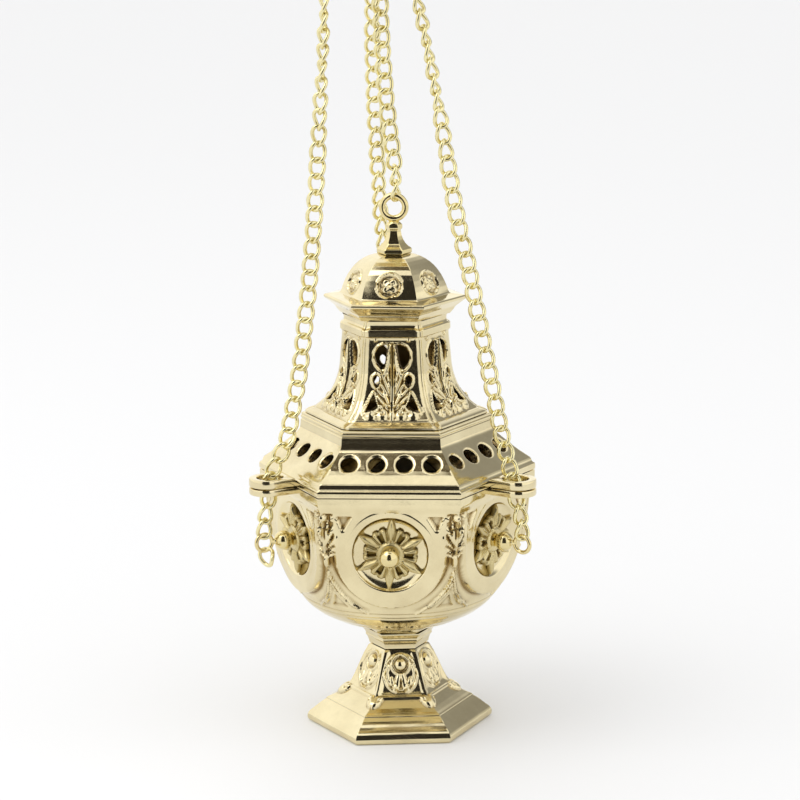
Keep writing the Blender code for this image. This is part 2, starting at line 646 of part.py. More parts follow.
def build():
    for old in list(bpy.data.objects):
        bpy.data.objects.remove(old)
    front_reach = STUD_BALL_REACH + STUD_BALL_RADIUS
    axis = empty("censer_axis", (0, (front_reach - EAR_TIP) / 2, 0))
    lid = empty("lid_axis", (0, 0, 0), axis)

    cast = material("polished_brass", (0.78, 0.64, 0.34), 0.12)
    turned = material("turned_brass", (0.80, 0.66, 0.36), 0.15)
    rosette_brass = material("rosette_brass", (0.72, 0.56, 0.26), 0.22)
    chain_brass = material("chain_brass", (0.86, 0.76, 0.42), 0.2)
    steel = material("cup_steel", (0.42, 0.40, 0.38), 0.4)

    make_foot(cast, axis)
    make_stem_collar(cast, axis)
    make_bowl(cast, axis)
    make_fixing(turned, axis)
    make_charcoal_cup(steel, axis)
    for side, azimuth in FACES.items():
        make_rosette("rosette_" + side, azimuth, rosette_brass, axis)
        make_stud_nut("stud_nut_" + side, azimuth, turned, axis)
    for side, azimuth in PLAIN_FACES.items():
        make_ball_stud("ball_stud_" + side, azimuth, turned, axis)
    for side, azimuth in EAR_FACES.items():
        make_eye_stud("eye_stud_" + side, azimuth, turned, axis)
        make_plate_eye("plate_eye_" + side, azimuth, turned, axis)
        make_chain("chain_" + side, chain_brass, axis)
    make_chain_plate(cast, axis)
    make_handle_eye(turned, axis)

    make_lid_skirt(cast, lid)
    make_lid_tower(cast, lid)
    make_lid_dome(cast, lid)
    make_finial(turned, lid)
    make_chain("lid_chain", chain_brass, lid)

    plate_top = PLATE_UNDERSIDE + PLATE_THICKNESS
    slack = HANDLE_EYE_RADIUS - HANDLE_EYE_WIRE - HANDLE_RING_WIRE - GAP
    handle_pivot = (PLATE_X, PLATE_Y, plate_top + HANDLE_EYE_RISE + slack)
    make_ring_on_pivot(
        "handle_ring", handle_pivot, 90, HANDLE_RING_RADIUS, HANDLE_RING_WIRE, turned, axis
    )
    pull_x, pull_y, chain_end = CHAIN_ROUTES["lid_chain"][-1]
    pull_pivot = (pull_x, pull_y, chain_end + GAP + PULL_RING_WIRE)
    make_ring_on_pivot("pull_ring", pull_pivot, 180, PULL_RING_RADIUS, PULL_RING_WIRE, turned, lid)


build()
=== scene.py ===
"""Thurible censer: its looks, a camera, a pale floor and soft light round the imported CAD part.

Shapes are worked out in millimetres about the hexagon's vertical axis, and are scaled to metres as
each mesh is made. A face's azimuth is counted from the front (-Y) towards +X. On a face, u runs
across it from its middle and z is the height above the floor.
"""

import json
import math

import bpy
import numpy as np
from mathutils import Matrix, Vector

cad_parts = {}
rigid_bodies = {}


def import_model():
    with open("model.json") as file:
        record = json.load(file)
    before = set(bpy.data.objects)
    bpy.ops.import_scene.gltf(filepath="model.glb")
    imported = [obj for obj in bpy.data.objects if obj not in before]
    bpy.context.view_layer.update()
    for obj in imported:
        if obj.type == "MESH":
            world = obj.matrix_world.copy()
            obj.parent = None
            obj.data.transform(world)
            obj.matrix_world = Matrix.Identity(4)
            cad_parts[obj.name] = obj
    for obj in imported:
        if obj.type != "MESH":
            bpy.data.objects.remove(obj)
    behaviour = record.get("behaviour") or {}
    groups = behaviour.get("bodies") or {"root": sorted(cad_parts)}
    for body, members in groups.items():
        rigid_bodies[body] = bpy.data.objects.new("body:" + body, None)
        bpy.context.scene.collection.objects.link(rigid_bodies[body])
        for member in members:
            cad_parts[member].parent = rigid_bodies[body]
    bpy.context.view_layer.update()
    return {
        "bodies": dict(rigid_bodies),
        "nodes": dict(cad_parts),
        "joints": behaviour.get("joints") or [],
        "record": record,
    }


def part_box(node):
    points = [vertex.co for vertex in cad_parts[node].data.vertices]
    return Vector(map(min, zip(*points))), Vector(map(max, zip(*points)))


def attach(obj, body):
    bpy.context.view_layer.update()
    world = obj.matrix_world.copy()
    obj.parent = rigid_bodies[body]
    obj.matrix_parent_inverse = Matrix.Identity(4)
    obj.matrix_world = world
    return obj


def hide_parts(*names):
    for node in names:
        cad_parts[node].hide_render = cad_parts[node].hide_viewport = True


MM = 0.001
TAN30 = math.tan(math.radians(30))
COS30 = math.cos(math.radians(30))
FACES = {"front": 0, "front_right": 60, "back_right": 120, "back": 180, "back_left": 240, "front_left": 300}
EAR_FACES = {"left": 300, "right": 60, "back": 180}
PLAIN_FACES = {"front": 0, "back_right": 120, "back_left": 240}

PARTING = 121.8
MEDALLION_HEIGHT = 95.3
MEDALLION_PLANE = 52.6
MEDALLION_TILT = 3.0
STUD_BALL_REACH = 58.3
EYE_REACH = 67.8
EYE_RADIUS = 3.85
EYE_WIRE = 0.95
FOOT_TURN = 6.0
PLATE_X = -10.0
PLATE_Y = -0.6
PLATE_UNDERSIDE = 356.0
PLATE_THICKNESS = 2.4
PLATE_EYE_CIRCLE = 22.0
CHAIN_DIAMETER = 7.7
LINK_LENGTH = 10.7
LINK_WIRE = 1.85
LINK_PITCH = 7.3
SHIELD_RADIUS = 25.0
FLOWER_HEIGHT = 211.4
HOLE_RISE = 9.0
HOLE_PLACES = (6.2, 18.6)
HOLE_RADIUS = 3.95

# The middle lines of the chains, as in the CAD source, each with a point in the eyes at its ends
CHAIN_ROUTES = {
    "chain_left": [
        (-58.7, -33.9, 99.2), (-58.6, -33.9, 104.2), (-57.2, -33.0, 112), (-55.9, -32.3, 119),
        (-55.2, -31.9, 126.5), (-51.8, -29.3, 134), (-48.4, -26.6, 141), (-45.6, -24.4, 155),
        (-42.2, -21.8, 173), (-39.3, -19.6, 197), (-37.0, -17.7, 218), (-34.3, -15.7, 249),
        (-31.6, -13.6, 291), (-29.6, -12.2, 325), (-29.1, -11.6, 344.4), (-29.05, -11.6, 346.3),
    ],
    "chain_right": [
        (58.7, -33.9, 99.2), (58.6, -33.9, 104.2), (57.2, -33.0, 112), (55.3, -31.9, 119),
        (53.9, -31.0, 126.5), (49.7, -29.5, 144), (46.4, -28.0, 161), (41.2, -25.7, 187),
        (35.2, -23.1, 218), (28.6, -20.2, 248), (21.4, -17.0, 293), (13.4, -13.6, 334),
        (9.4, -11.7, 344.4), (9.05, -11.6, 346.3),
    ],
    "chain_back": [
        (0, 67.8, 99.2), (0, 67.8, 104.2), (0, 66.0, 112), (-0.4, 64.0, 119), (-1.0, 62.4, 126.5),
        (-3.4, 57.5, 150), (-6.2, 50.4, 185), (-8.3, 43.2, 220), (-9.7, 35.0, 260),
        (-10.4, 27.4, 300), (-10.2, 22.4, 334), (-10.0, 21.5, 344.4), (-10.0, 21.4, 346.3),
    ],
    "lid_chain": [
        (1.0, 0, 249.2), (1.0, 0, 254.9), (0.7, -0.6, 262), (-0.9, -3.2, 277), (-2.6, -5.4, 295),
        (-3.9, -7.9, 318), (-4.5, -9.8, 340), (-4.8, -10.8, 352), (-4.8, -10.8, 358.6),
        (-4.8, -10.8, 360.2),
    ],
}

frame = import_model()
axis_low, axis_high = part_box("fixing_washer")
AXIS = (axis_low + axis_high) / 2
AXIS.z = 0.0


def put(name, data):
    """A new object, linked to the scene."""
    made = bpy.data.objects.new(name, data)
    bpy.context.scene.collection.objects.link(made)
    return made


def rotation(degrees, axis="Z"):
    return Matrix.Rotation(math.radians(degrees), 4, axis)


# -------- camera

def make_camera():
    data = bpy.data.cameras.new("camera")
    data.sensor_width = 36.0
    data.lens = 124.47
    data.clip_start = 0.05
    data.clip_end = 50.0
    camera = put("camera", data)
    camera.location = AXIS + Vector((0.0808, -1.2413, 0.4398))
    heading = math.radians(3.64)
    down = math.radians(12.925)
    look = Vector(
        (-math.sin(heading) * math.cos(down), math.cos(heading) * math.cos(down), -math.sin(down))
    )
    camera.rotation_mode = "QUATERNION"
    camera.rotation_quaternion = look.to_track_quat("-Z", "Y") @ rotation(-0.66).to_quaternion()
    bpy.context.scene.camera = camera


# -------- materials

def set_inputs(node, **values):
    """Sets inputs by name, with an underscore for each space, and gives the node back."""
    for name, value in values.items():
        node.inputs[name.replace("_", " ")].default_value = value
    return node


def metal(name, colour, patina, roughness, spread, grain_scale, bump):
    """A polished metal with fine wear and random darker clouds, dulled and darkened where its surface lies
    deep: patina and painted shade in the hollows.
    """
    made = bpy.data.materials.new(name)
    made.use_nodes = True
    nodes, links = made.node_tree.nodes, made.node_tree.links
    shader = set_inputs(nodes["Principled BSDF"], Metallic=1.0)
    place = nodes.new("ShaderNodeTexCoord")
    # The attribute that sets how far each point is darkened with patina and painted shade in the hollows.
    shade_depth = nodes.new("ShaderNodeAttribute")
    shade_depth.attribute_name = "shade_depth"

    clouds = set_inputs(nodes.new("ShaderNodeTexNoise"), Scale=42.0, Detail=5.0, Roughness=0.62)
    waves = set_inputs(nodes.new("ShaderNodeTexNoise"), Scale=70.0, Detail=1.0)
    grain = set_inputs(nodes.new("ShaderNodeTexNoise"), Scale=grain_scale, Detail=4.0, Roughness=0.7)
    for noise in (clouds, waves, grain):
        links.new(place.outputs["Object"], noise.inputs["Vector"])

    worn = nodes.new("ShaderNodeMapRange")
    set_inputs(worn, From_Min=0.35, From_Max=0.75, To_Min=0.0, To_Max=0.28)
    links.new(clouds.outputs["Fac"], worn.inputs["Value"])
    # Random clouds of darker tone, plus patina and painted shade in the hollows, darken the colour and dull
    # the gloss.
    wear_and_hollow_shade = nodes.new("ShaderNodeMath")
    wear_and_hollow_shade.operation = "ADD"
    wear_and_hollow_shade.use_clamp = True
    links.new(worn.outputs["Result"], wear_and_hollow_shade.inputs[0])
    links.new(shade_depth.outputs["Fac"], wear_and_hollow_shade.inputs[1])
    tone = nodes.new("ShaderNodeMix")
    tone.data_type = "RGBA"
    set_inputs(tone, A=(*colour, 1.0), B=(*patina, 1.0))
    links.new(wear_and_hollow_shade.outputs["Value"], tone.inputs["Factor"])
    links.new(tone.outputs["Result"], shader.inputs["Base Color"])

    gloss = nodes.new("ShaderNodeMapRange")
    set_inputs(gloss, From_Min=0.3, From_Max=0.7, To_Min=roughness, To_Max=roughness + spread)
    links.new(grain.outputs["Fac"], gloss.inputs["Value"])
    dull = nodes.new("ShaderNodeMath")
    dull.operation = "MULTIPLY_ADD"
    dull.use_clamp = True
    dull.inputs[1].default_value = 0.3
    links.new(wear_and_hollow_shade.outputs["Value"], dull.inputs[0])
    links.new(gloss.outputs["Result"], dull.inputs[2])
    links.new(dull.outputs["Value"], shader.inputs["Roughness"])

    rise = set_inputs(nodes.new("ShaderNodeBump"), Strength=bump, Distance=0.0006)
    links.new(waves.outputs["Fac"], rise.inputs["Height"])
    links.new(rise.outputs["Normal"], shader.inputs["Normal"])
    return made


# -------- meshes

def grid_faces(rows, columns, closed=True):
    """The quads of a grid whose columns run right round, as its rows do if it is closed."""
    low = np.arange(rows if closed else rows - 1)
    left = np.arange(columns)
    right = (left + 1) % columns
    high = (low + 1) % rows
    corners = [(low, left), (low, right), (high, right), (high, left)]
    return np.stack([r[:, None] * columns + c[None, :] for r, c in corners], -1).reshape(-1, 4)


def outside_out(points, faces):
    """The faces, turned round if they look inwards."""
    a, b, c, d = (points[faces[:, i]] for i in range(4))
    volume = np.einsum("ij,ij->", a, np.cross(b, c)) + np.einsum("ij,ij->", a, np.cross(c, d))
    return faces if volume > 0 else faces[:, ::-1]


def make_piece(name, shells, finish, body, nodes=(), sharp=38):
    """One mesh from closed surfaces, each given as points, faces and each point's amount of patina and
    painted shade, in millimetres about the axis.
    """
    mesh = bpy.data.meshes.new(name)
    starts = np.cumsum([0] + [len(points) for points, faces, shade_depth in shells])
    points = np.concatenate([shell[0] for shell in shells])
    faces = np.concatenate([outside_out(s[0], s[1]) + start for s, start in zip(shells, starts)])
    shade_depth = np.concatenate([np.broadcast_to(shell[2], len(shell[0])) for shell in shells])
    mesh.vertices.add(len(points))
    mesh.vertices.foreach_set("co", (points * MM + np.array(AXIS)).astype(np.float32).ravel())
    mesh.loops.add(faces.size)
    mesh.loops.foreach_set("vertex_index", faces.astype(np.int32).ravel())
    mesh.polygons.add(len(faces))
    mesh.polygons.foreach_set("loop_start", np.arange(0, faces.size, 4, dtype=np.int32))
    mesh.update(calc_edges=True)
    mesh.validate()
    # Each point's amount of patina and painted shade, read by the metal's colour and roughness.
    attribute = mesh.attributes.new("shade_depth", "FLOAT", "POINT")
    attribute.data.foreach_set("value", shade_depth.astype(np.float32))
    mesh.shade_smooth()
    mesh.set_sharp_from_angle(angle=math.radians(sharp))
    mesh.materials.append(finish)
    piece = put(name, mesh)
    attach(piece, body)
    if nodes:
        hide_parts(*nodes)
    return piece


def placed(shells, matrix):
    """Shells moved by a matrix in millimetres."""
    turn = np.array(matrix)[:3, :3]
    shift = np.array(matrix)[:3, 3]
    return [(points @ turn.T + shift, faces, shade_depth) for points, faces, shade_depth in shells]


def outward(azimuth):
    turn = math.radians(azimuth)
    return Vector((math.sin(turn), -math.cos(turn), 0))


def face_matrix(azimuth, reach=0.0, height=0.0, tilt=0.0):
    """Puts local +Z out of a face, local X across it and local Y up it. Tilt turns +Z downwards."""
    place = Matrix.Translation(outward(azimuth) * reach + Vector((0, 0, height)))
    turn = rotation(azimuth)
    return place @ turn @ rotation(90 + tilt, "X")


def smooth_step(value, low, high):
    share = np.clip((value - low) / (high - low), 0, 1)
    return share * share * (3 - 2 * share)


def spaced(profile, step):
    """Points along a polyline, no further apart than step, that keep its corners."""
    profile = np.array(profile, float)
    rows = [profile[:1]]
    for start, end in zip(profile, profile[1:]):
        count = max(1, math.ceil(np.hypot(*(end - start)[:2]) / step))
        share = np.arange(1, count + 1)[:, None] / count
        rows.append(start + (end - start) * share)
    return np.concatenate(rows)


def profile_normals(profile):
    """The outward (reach, height) normal at each point of a profile that climbs on its outside."""
    along = np.gradient(profile[:, :2], axis=0)
    normal = np.stack([along[:, 1], -along[:, 0]], -1)
    return normal / np.maximum(np.linalg.norm(normal, axis=1, keepdims=True), 1e-9)


def hexagon_points(radius, height, roundness, share, azimuth, lift, normal):
    """Points of a hexagonal section. Share runs from -1 to 1 across a face; lift is along the normal."""
    angle = np.arctan(share * TAN30)
    reach = radius * ((1 - roundness) * COS30 / np.cos(angle) + roundness)
    blend = roundness + (1 - roundness) * smooth_step(np.abs(share), 0.9, 1.0)
    out = reach * np.cos(angle) + lift * normal[0]
    across = reach * np.sin(angle) + lift * normal[0] * np.tan(blend * angle)
    turn = np.radians(azimuth)
    x = out * np.sin(turn) + across * np.cos(turn)
    y = -out * np.cos(turn) + across * np.sin(turn)
    return np.stack([x, y, height + lift * normal[1]], -1)


def columns_of(per_face):
    """For every column round the hexagon: its share across its face and the face's azimuth."""
    share = np.tile(2 * np.arange(per_face) / per_face - 1, 6)
    azimuth = np.repeat(np.arange(6) * 60.0, per_face)
    return share, azimuth


def hollows(lift):
    """How far each point lies below the surface round it, from 0 to 1, which sets how much patina and
    painted shade darken it.
    """
    smooth = lift
    for _ in range(6):
        smooth = (smooth + np.roll(smooth, 1, 1) + np.roll(smooth, -1, 1)) / 3
        smooth[1:-1] = (smooth[:-2] + smooth[1:-1] + smooth[2:]) / 3
    return np.clip((smooth - lift) * 1.6 - 0.1, 0, 0.9)


def sweep(outer, inner, per_face, step, relief=None, coarse=4.0):
    """A closed shell of (radius, height, roundness) profiles: outer climbs, inner comes back down."""
    outer = spaced(outer, step)
    inner = spaced(inner, coarse)
    rows = np.concatenate([outer, inner])
    share, azimuth = columns_of(per_face)
    radius, height, roundness = (rows[:, i][:, None] for i in range(3))
    normals = np.concatenate([profile_normals(outer), np.zeros((len(inner), 2))])
    lift = np.zeros((len(rows), len(share)))
    # Patina and painted shade go only into the outer surface's hollows; the inner surface gets none.
    shade_depth = np.zeros_like(lift)
    if relief:
        angle = np.arctan(share * TAN30)[None, :]
        reach = radius * ((1 - roundness) * COS30 / np.cos(angle) + roundness)
        count = len(outer)
        across = (reach * np.sin(angle))[:count]
        out = (reach * np.cos(angle))[:count]
        edge = radius[:count] / 2 + 0 * across
        lift[:count] = relief(across, height[:count] + 0 * across, edge, out)
        shade_depth[:count] = hollows(lift[:count])
    points = hexagon_points(
        radius, height, roundness, share, azimuth, lift, (normals[:, 0:1], normals[:, 1:2])
    )
    faces = grid_faces(len(rows), len(share))
    return (points.reshape(-1, 3), faces, shade_depth.ravel())


def pierced(outer, inner, ruler, per_face, step, openings, relief):
    """A hexagonal shell with matched outer and inner (radius, height) rows and holes right through it.

    ruler gives each row's place v up the face. openings(u, v) is the distance to the nearest
    opening's rim, negative inside it, and relief(u, v, gap, edge) the outer surface's lift.
    """
    outer, inner, ruler = (np.array(values, float) for values in (outer, inner, ruler))
    rows = [0.0]
    for index in range(len(outer) - 1):
        count = max(1, math.ceil(np.hypot(*(outer[index + 1] - outer[index])) / step))
        rows.extend(index + np.arange(1, count + 1) / count)
    rows = np.array(rows)
    marks = np.arange(len(outer))
    share, azimuth = columns_of(per_face)
    v = np.interp(rows, marks, ruler)[:, None] + 0 * share[None, :]
    u = np.interp(rows, marks, outer[:, 0])[:, None] / 2 * share[None, :]

    centre_u = (u + np.roll(u, -1, 1))[:-1] / 2
    centre_u[:, per_face - 1 :: per_face] = u[:-1, 0:1] * -1
    centre_v = (v[:-1] + v[1:]) / 2
    centre_u = (centre_u + (u + np.roll(u, -1, 1))[1:] / 2) / 2
    gone = openings(centre_u, centre_v) < 0
    gone[:, per_face - 1 :: per_face] = False
    around = np.zeros((len(rows), len(share), 4), bool)
    around[:-1, :, 0] = gone
    around[1:, :, 1] = gone
    around[:-1, :, 2] = np.roll(gone, 1, 1)
    around[1:, :, 3] = np.roll(gone, 1, 1)
    rim = around.any(-1) & ~around.all(-1)
    for _ in range(3):
        gap = openings(u, v)
        du = (openings(u + 0.05, v) - openings(u - 0.05, v)) / 0.1
        dv = (openings(u, v + 0.05) - openings(u, v - 0.05)) / 0.1
        scale = np.maximum(du**2 + dv**2, 0.2)
        u = np.where(rim, u - np.clip(gap * du / scale, -0.5, 0.5), u)
        v = np.where(rim, v - np.clip(gap * dv / scale, -0.5, 0.5), v)

    place = np.interp(v, ruler, marks)
    place = np.where(rim, place, rows[:, None])
    gap = openings(u, v)
    radius = np.interp(place, marks, outer[:, 0])
    share = np.clip(u / (radius / 2), -1, 1)
    lift = relief(u, v, gap, radius / 2)
    fine = np.stack([np.interp(rows, marks, outer[:, i]) for i in (0, 1)], -1)
    normals = profile_normals(fine)
    outside = hexagon_points(
        radius, np.interp(place, marks, outer[:, 1]), 0.0, share, azimuth, lift,
        (normals[:, 0:1], normals[:, 1:2]),
    )
    inside_radius = np.interp(place, marks, inner[:, 0])
    inside = hexagon_points(
        inside_radius, np.interp(place, marks, inner[:, 1]), 0.0,
        np.clip(u / (inside_radius / 2), -1, 1), azimuth, 0.0, (0.0, 0.0),
    )
    kept = grid_faces(*u.shape, closed=False)[~gone.ravel()]
    size = u.size
    edges = np.concatenate([kept[:, [i, (i + 1) % 4]] for i in range(4)])
    keys = np.sort(edges, axis=1)
    _, first, times = np.unique(keys, axis=0, return_index=True, return_counts=True)
    single = edges[first[times == 1]]
    walls = np.stack([single[:, 1], single[:, 0], single[:, 0] + size, single[:, 1] + size], -1)
    faces = np.concatenate([kept, kept[:, ::-1] + size, walls])
    points = np.concatenate([outside.reshape(-1, 3), inside.reshape(-1, 3)])
    # Patina and painted shade in the outer surface's hollows, and painted shade at 0.8 over the whole inner
    # surface.
    shade_depth = np.concatenate([hollows(lift).ravel(), np.full(size, 0.8)])
    used = np.unique(faces)
    index = np.full(len(points), -1)
    index[used] = np.arange(len(used))
    return (points[used], index[faces], shade_depth[used])


def lathe(profile, sides=64, step=0.8):
    """A round closed shell of (radius, height) points, from one end of its axis to the other."""
    rows = spaced(profile, step)
    rows[:, 0] = np.maximum(rows[:, 0], 0.02)
    turn = 2 * np.pi * np.arange(sides) / sides
    x = rows[:, 0:1] * np.cos(turn)
    y = rows[:, 0:1] * np.sin(turn)
    z = rows[:, 1:2] + 0 * x
    faces = grid_faces(len(rows), sides)
    return (np.stack([x, y, z], -1).reshape(-1, 3), faces, 0.0)


def torus(radius, wire, steps=64, sides=16):
    """A ring of wire in the local XY plane."""
    turn = 2 * np.pi * np.arange(steps)[:, None] / steps
    around = 2 * np.pi * np.arange(sides)[None, :] / sides
    reach = radius + wire * np.cos(around)
    points = np.stack(
        [reach * np.cos(turn), reach * np.sin(turn), wire * np.sin(around) + 0 * turn], -1
    )
    return (points.reshape(-1, 3), grid_faces(steps, sides), 0.0)


def ball(centre, radius, start, steps=24):
    """(radius, height) points over a ball, from the angle start up to 180 at its top."""
    turns = [math.radians(start + (180 - start) * step / steps) for step in range(steps + 1)]
    return [(radius * math.sin(turn), centre - radius * math.cos(turn)) for turn in turns]


# -------- relief

def ridge(distance, width):
    """1 on a line and 0 from width away, with a round top."""
    return np.clip(1 - (distance / width) ** 2, 0, 1) ** 1.5


def to_line(u, z, start, end):
    along = (end[0] - start[0], end[1] - start[1])
    share = ((u - start[0]) * along[0] + (z - start[1]) * along[1]) / (along[0] ** 2 + along[1] ** 2)
    share = np.clip(share, 0, 1)
    return np.hypot(u - start[0] - share * along[0], z - start[1] - share * along[1])


def to_path(u, z, path):
    return np.minimum.reduce([to_line(u, z, a, b) for a, b in zip(path, path[1:])])


def lobe(u, z, centre, size, turn=0.0):
    """A rounded leaf or bead: 1 in its middle, 0 at its rim. Turn is from upright, in degrees."""
    angle = math.radians(turn)
    x = (u - centre[0]) * math.cos(angle) + (z - centre[1]) * math.sin(angle)
    y = -(u - centre[0]) * math.sin(angle) + (z - centre[1]) * math.cos(angle)
    return np.sqrt(np.clip(1 - (x / size[0]) ** 2 - (y / size[1]) ** 2, 0, 1))


def polygon_gap(u, z, corners):
    """The distance to a polygon's outline, negative inside it."""
    distance = to_path(u, z, [*corners, corners[0]])
    inside = np.zeros(np.shape(u), bool)
    for (x0, z0), (x1, z1) in zip(corners, [*corners[1:], corners[0]]):
        if z0 == z1:
            continue
        crosses = (z0 > z) != (z1 > z)
        inside ^= crosses & (u < (x1 - x0) * (z - z0) / (z1 - z0) + x0)
    return np.where(inside, -distance, distance)


def bowl_relief(u, z, edge, out):
    """The polished shields round the medallions, leaves on the edges and pointed arches below them."""
    side = np.abs(u)
    corner = edge - side
    from_centre = np.hypot(u, z - MEDALLION_HEIGHT)
    shield_gap = np.where(z > MEDALLION_HEIGHT, side, from_centre) - SHIELD_RADIUS
    low = smooth_step(z, 62.0, 67.5)
    faces = low * (1 - smooth_step(z, 113.4, 114.6))
    shield = 1 - smooth_step(shield_gap, -1.6, 1.5)
    plane = MEDALLION_PLANE + (z - MEDALLION_HEIGHT) * math.tan(math.radians(MEDALLION_TILT))
    proud = np.clip(plane + 0.15 - out, -1.0, 2.2)
    lift = proud * shield * faces
    lift = np.where(from_centre < 19.4, -1.7, lift)
    outside = smooth_step(shield_gap, -0.4, 1.6) * faces
    lift -= 1.2 * outside
    lift += 0.5 * ridge(shield_gap + 0.6, 1.0) * faces * (z < 104)
    pit = polygon_gap(side, z, [(16.6, 113.2), (24.4, 113.2), (21.2, 105.6)])
    lift -= 1.4 * smooth_step(-pit, -0.3, 0.9)

    leaves = 1.5 * ridge(corner, 0.9) * smooth_step(z, 90.0, 93.0)
    for centre, size, turn, height in (
        ((1.7, 104.6), (0.9, 6.4), -9, 1.8), ((3.5, 104.4), (1.0, 5.8), -26, 2.0),
        ((4.5, 101.0), (1.0, 5.0), -40, 1.9), ((4.3, 97.4), (0.9, 4.2), -54, 1.7),
        ((3.0, 94.4), (0.8, 3.2), -62, 1.4), ((5.2, 111.6), (1.7, 1.5), 0, 2.0),
        ((0.0, 112.0), (2.6, 1.8), 0, 2.2), ((0.0, 91.4), (1.7, 3.4), 0, 2.0),
    ):
        leaves = np.maximum(leaves, height * lobe(corner, z, centre, size, turn))
    leaves -= 0.8 * ridge(np.hypot(corner - 5.2, z - 111.6), 0.8)
    lift += leaves * outside

    arch = to_path(corner, z, [(0.0, 85.6), (1.2, 81.6), (3.6, 75.6), (7.6, 69.6), (12.6, 65.0)])
    lift += 1.3 * ridge(arch, 1.0) * faces
    arch_low = to_path(corner, z, [(0.0, 80.2), (1.6, 76.0), (4.4, 71.4), (8.0, 67.6)])
    lift += 0.9 * ridge(arch_low, 0.7) * faces
    inner_pit = polygon_gap(corner, z, [(-4.4, 66.6), (4.4, 66.6), (0.0, 74.2)])
    lift -= 0.9 * smooth_step(-inner_pit, -0.2, 0.7)
    for height, deep, width in ((64.4, 0.4, 0.5), (62.6, 0.3, 0.4), (54.6, 0.4, 0.5)):
        lift -= deep * ridge(np.abs(z - height), width)
    return lift


def foot_relief(u, z, edge, out):
    """A framed panel with a boss in ovals over a tulip, and ribs that end in scrolls."""
    side = np.abs(u)
    corner = edge - side
    frame = polygon_gap(side, z, [(-1.0, 36.2), (5.0, 36.2), (8.0, 28.0), (10.2, 18.6), (-1.0, 18.6)])
    lift = -0.3 * smooth_step(-frame, -0.8, 1.4)
    panel = smooth_step(-frame, 0.0, 0.6)
    boss = np.hypot(u, z - 31.2)
    lift += panel * 1.9 * np.sqrt(np.clip(1 - (boss / 2.8) ** 2, 0, 1))
    lift += panel * 0.7 * ridge(boss - 4.2, 0.8)
    for reach, middle, height in ((7.8, 27.2, 0.7), (6.3, 27.0, 0.5)):
        oval = np.hypot(u, (z - middle) / 1.06)
        lift += panel * height * ridge(oval - reach, 0.75) * smooth_step(boss, 4.6, 5.4)
    for centre, size, turn, height in (
        ((1.4, 23.6), (1.6, 3.6), 12, 1.1), ((3.6, 22.6), (1.1, 3.6), -20, 0.8),
    ):
        lift += panel * height * lobe(side, z, centre, size, turn)
    lift -= 0.7 * ridge(np.hypot(u / 0.55, (z - 23.4) / 2.1), 1.0)
    lift += 0.6 * ridge(z - 17.2, 0.7) * (1 - smooth_step(side, edge - 3.6, edge - 2.6))
    rib = smooth_step(z, 16.6, 19.0) * (1 - smooth_step(z, 36.6, 37.3))
    lift += 0.3 * rib * (1 - smooth_step(corner, 0.3, 3.4))
    lift += 1.7 * lobe(corner, z, (1.6, 15.6), (2.6, 2.2))
    lift -= 0.8 * ridge(np.hypot(corner - 2.4, z - 15.8), 0.9)
    return lift


def dome_relief(u, z, edge, out):
    """A round flower medallion on each plain face."""
    body = smooth_step(z, 205.0, 206.2)
    from_centre = np.hypot(u, (z - FLOWER_HEIGHT) * 1.1)
    lift = 0.75 * ridge(from_centre - 5.5, 0.7) * body
    lift -= 0.5 * (1 - smooth_step(from_centre, 4.4, 5.2)) * body
    for turn in (45, 135, 225, 315):
        angle = math.radians(turn)
        centre = (2.2 * math.sin(angle), FLOWER_HEIGHT + 2.0 * math.cos(angle))
        lift += 1.0 * lobe(u, z, centre, (1.7, 1.9), -turn) * body
        lift -= 0.5 * ridge(np.hypot(u - centre[0], z - centre[1]), 0.8) * body
    return lift + 1.1 * lobe(u, z, (0.0, FLOWER_HEIGHT), (0.95, 0.95)) * body


def tower_gap(u, v):
    """The openings in a tower face: a pair of eggs, a pair of slots and a pair of triangles."""
    side = np.abs(u)
    egg = polygon_gap(
        side, v,
        [(1.8, 184.8), (3.8, 185.0), (6.0, 183.9), (7.6, 181.6), (7.9, 178.8), (7.0, 176.2), (5.6, 174.4),
         (4.4, 173.8), (3.6, 175.6), (3.0, 178.6), (2.4, 182.0)],
    )
    slot = polygon_gap(
        side, v,
        [(6.0, 170.2), (7.4, 171.3), (8.6, 170.3), (8.8, 168.5), (8.1, 166.8), (7.1, 165.9), (6.2, 166.8)],
    )
    triangle = polygon_gap(side, v, [(8.4, 163.0), (9.6, 161.0), (12.4, 155.4), (9.8, 155.0), (7.0, 157.2)])
    return np.minimum(np.minimum(egg, slot), triangle)


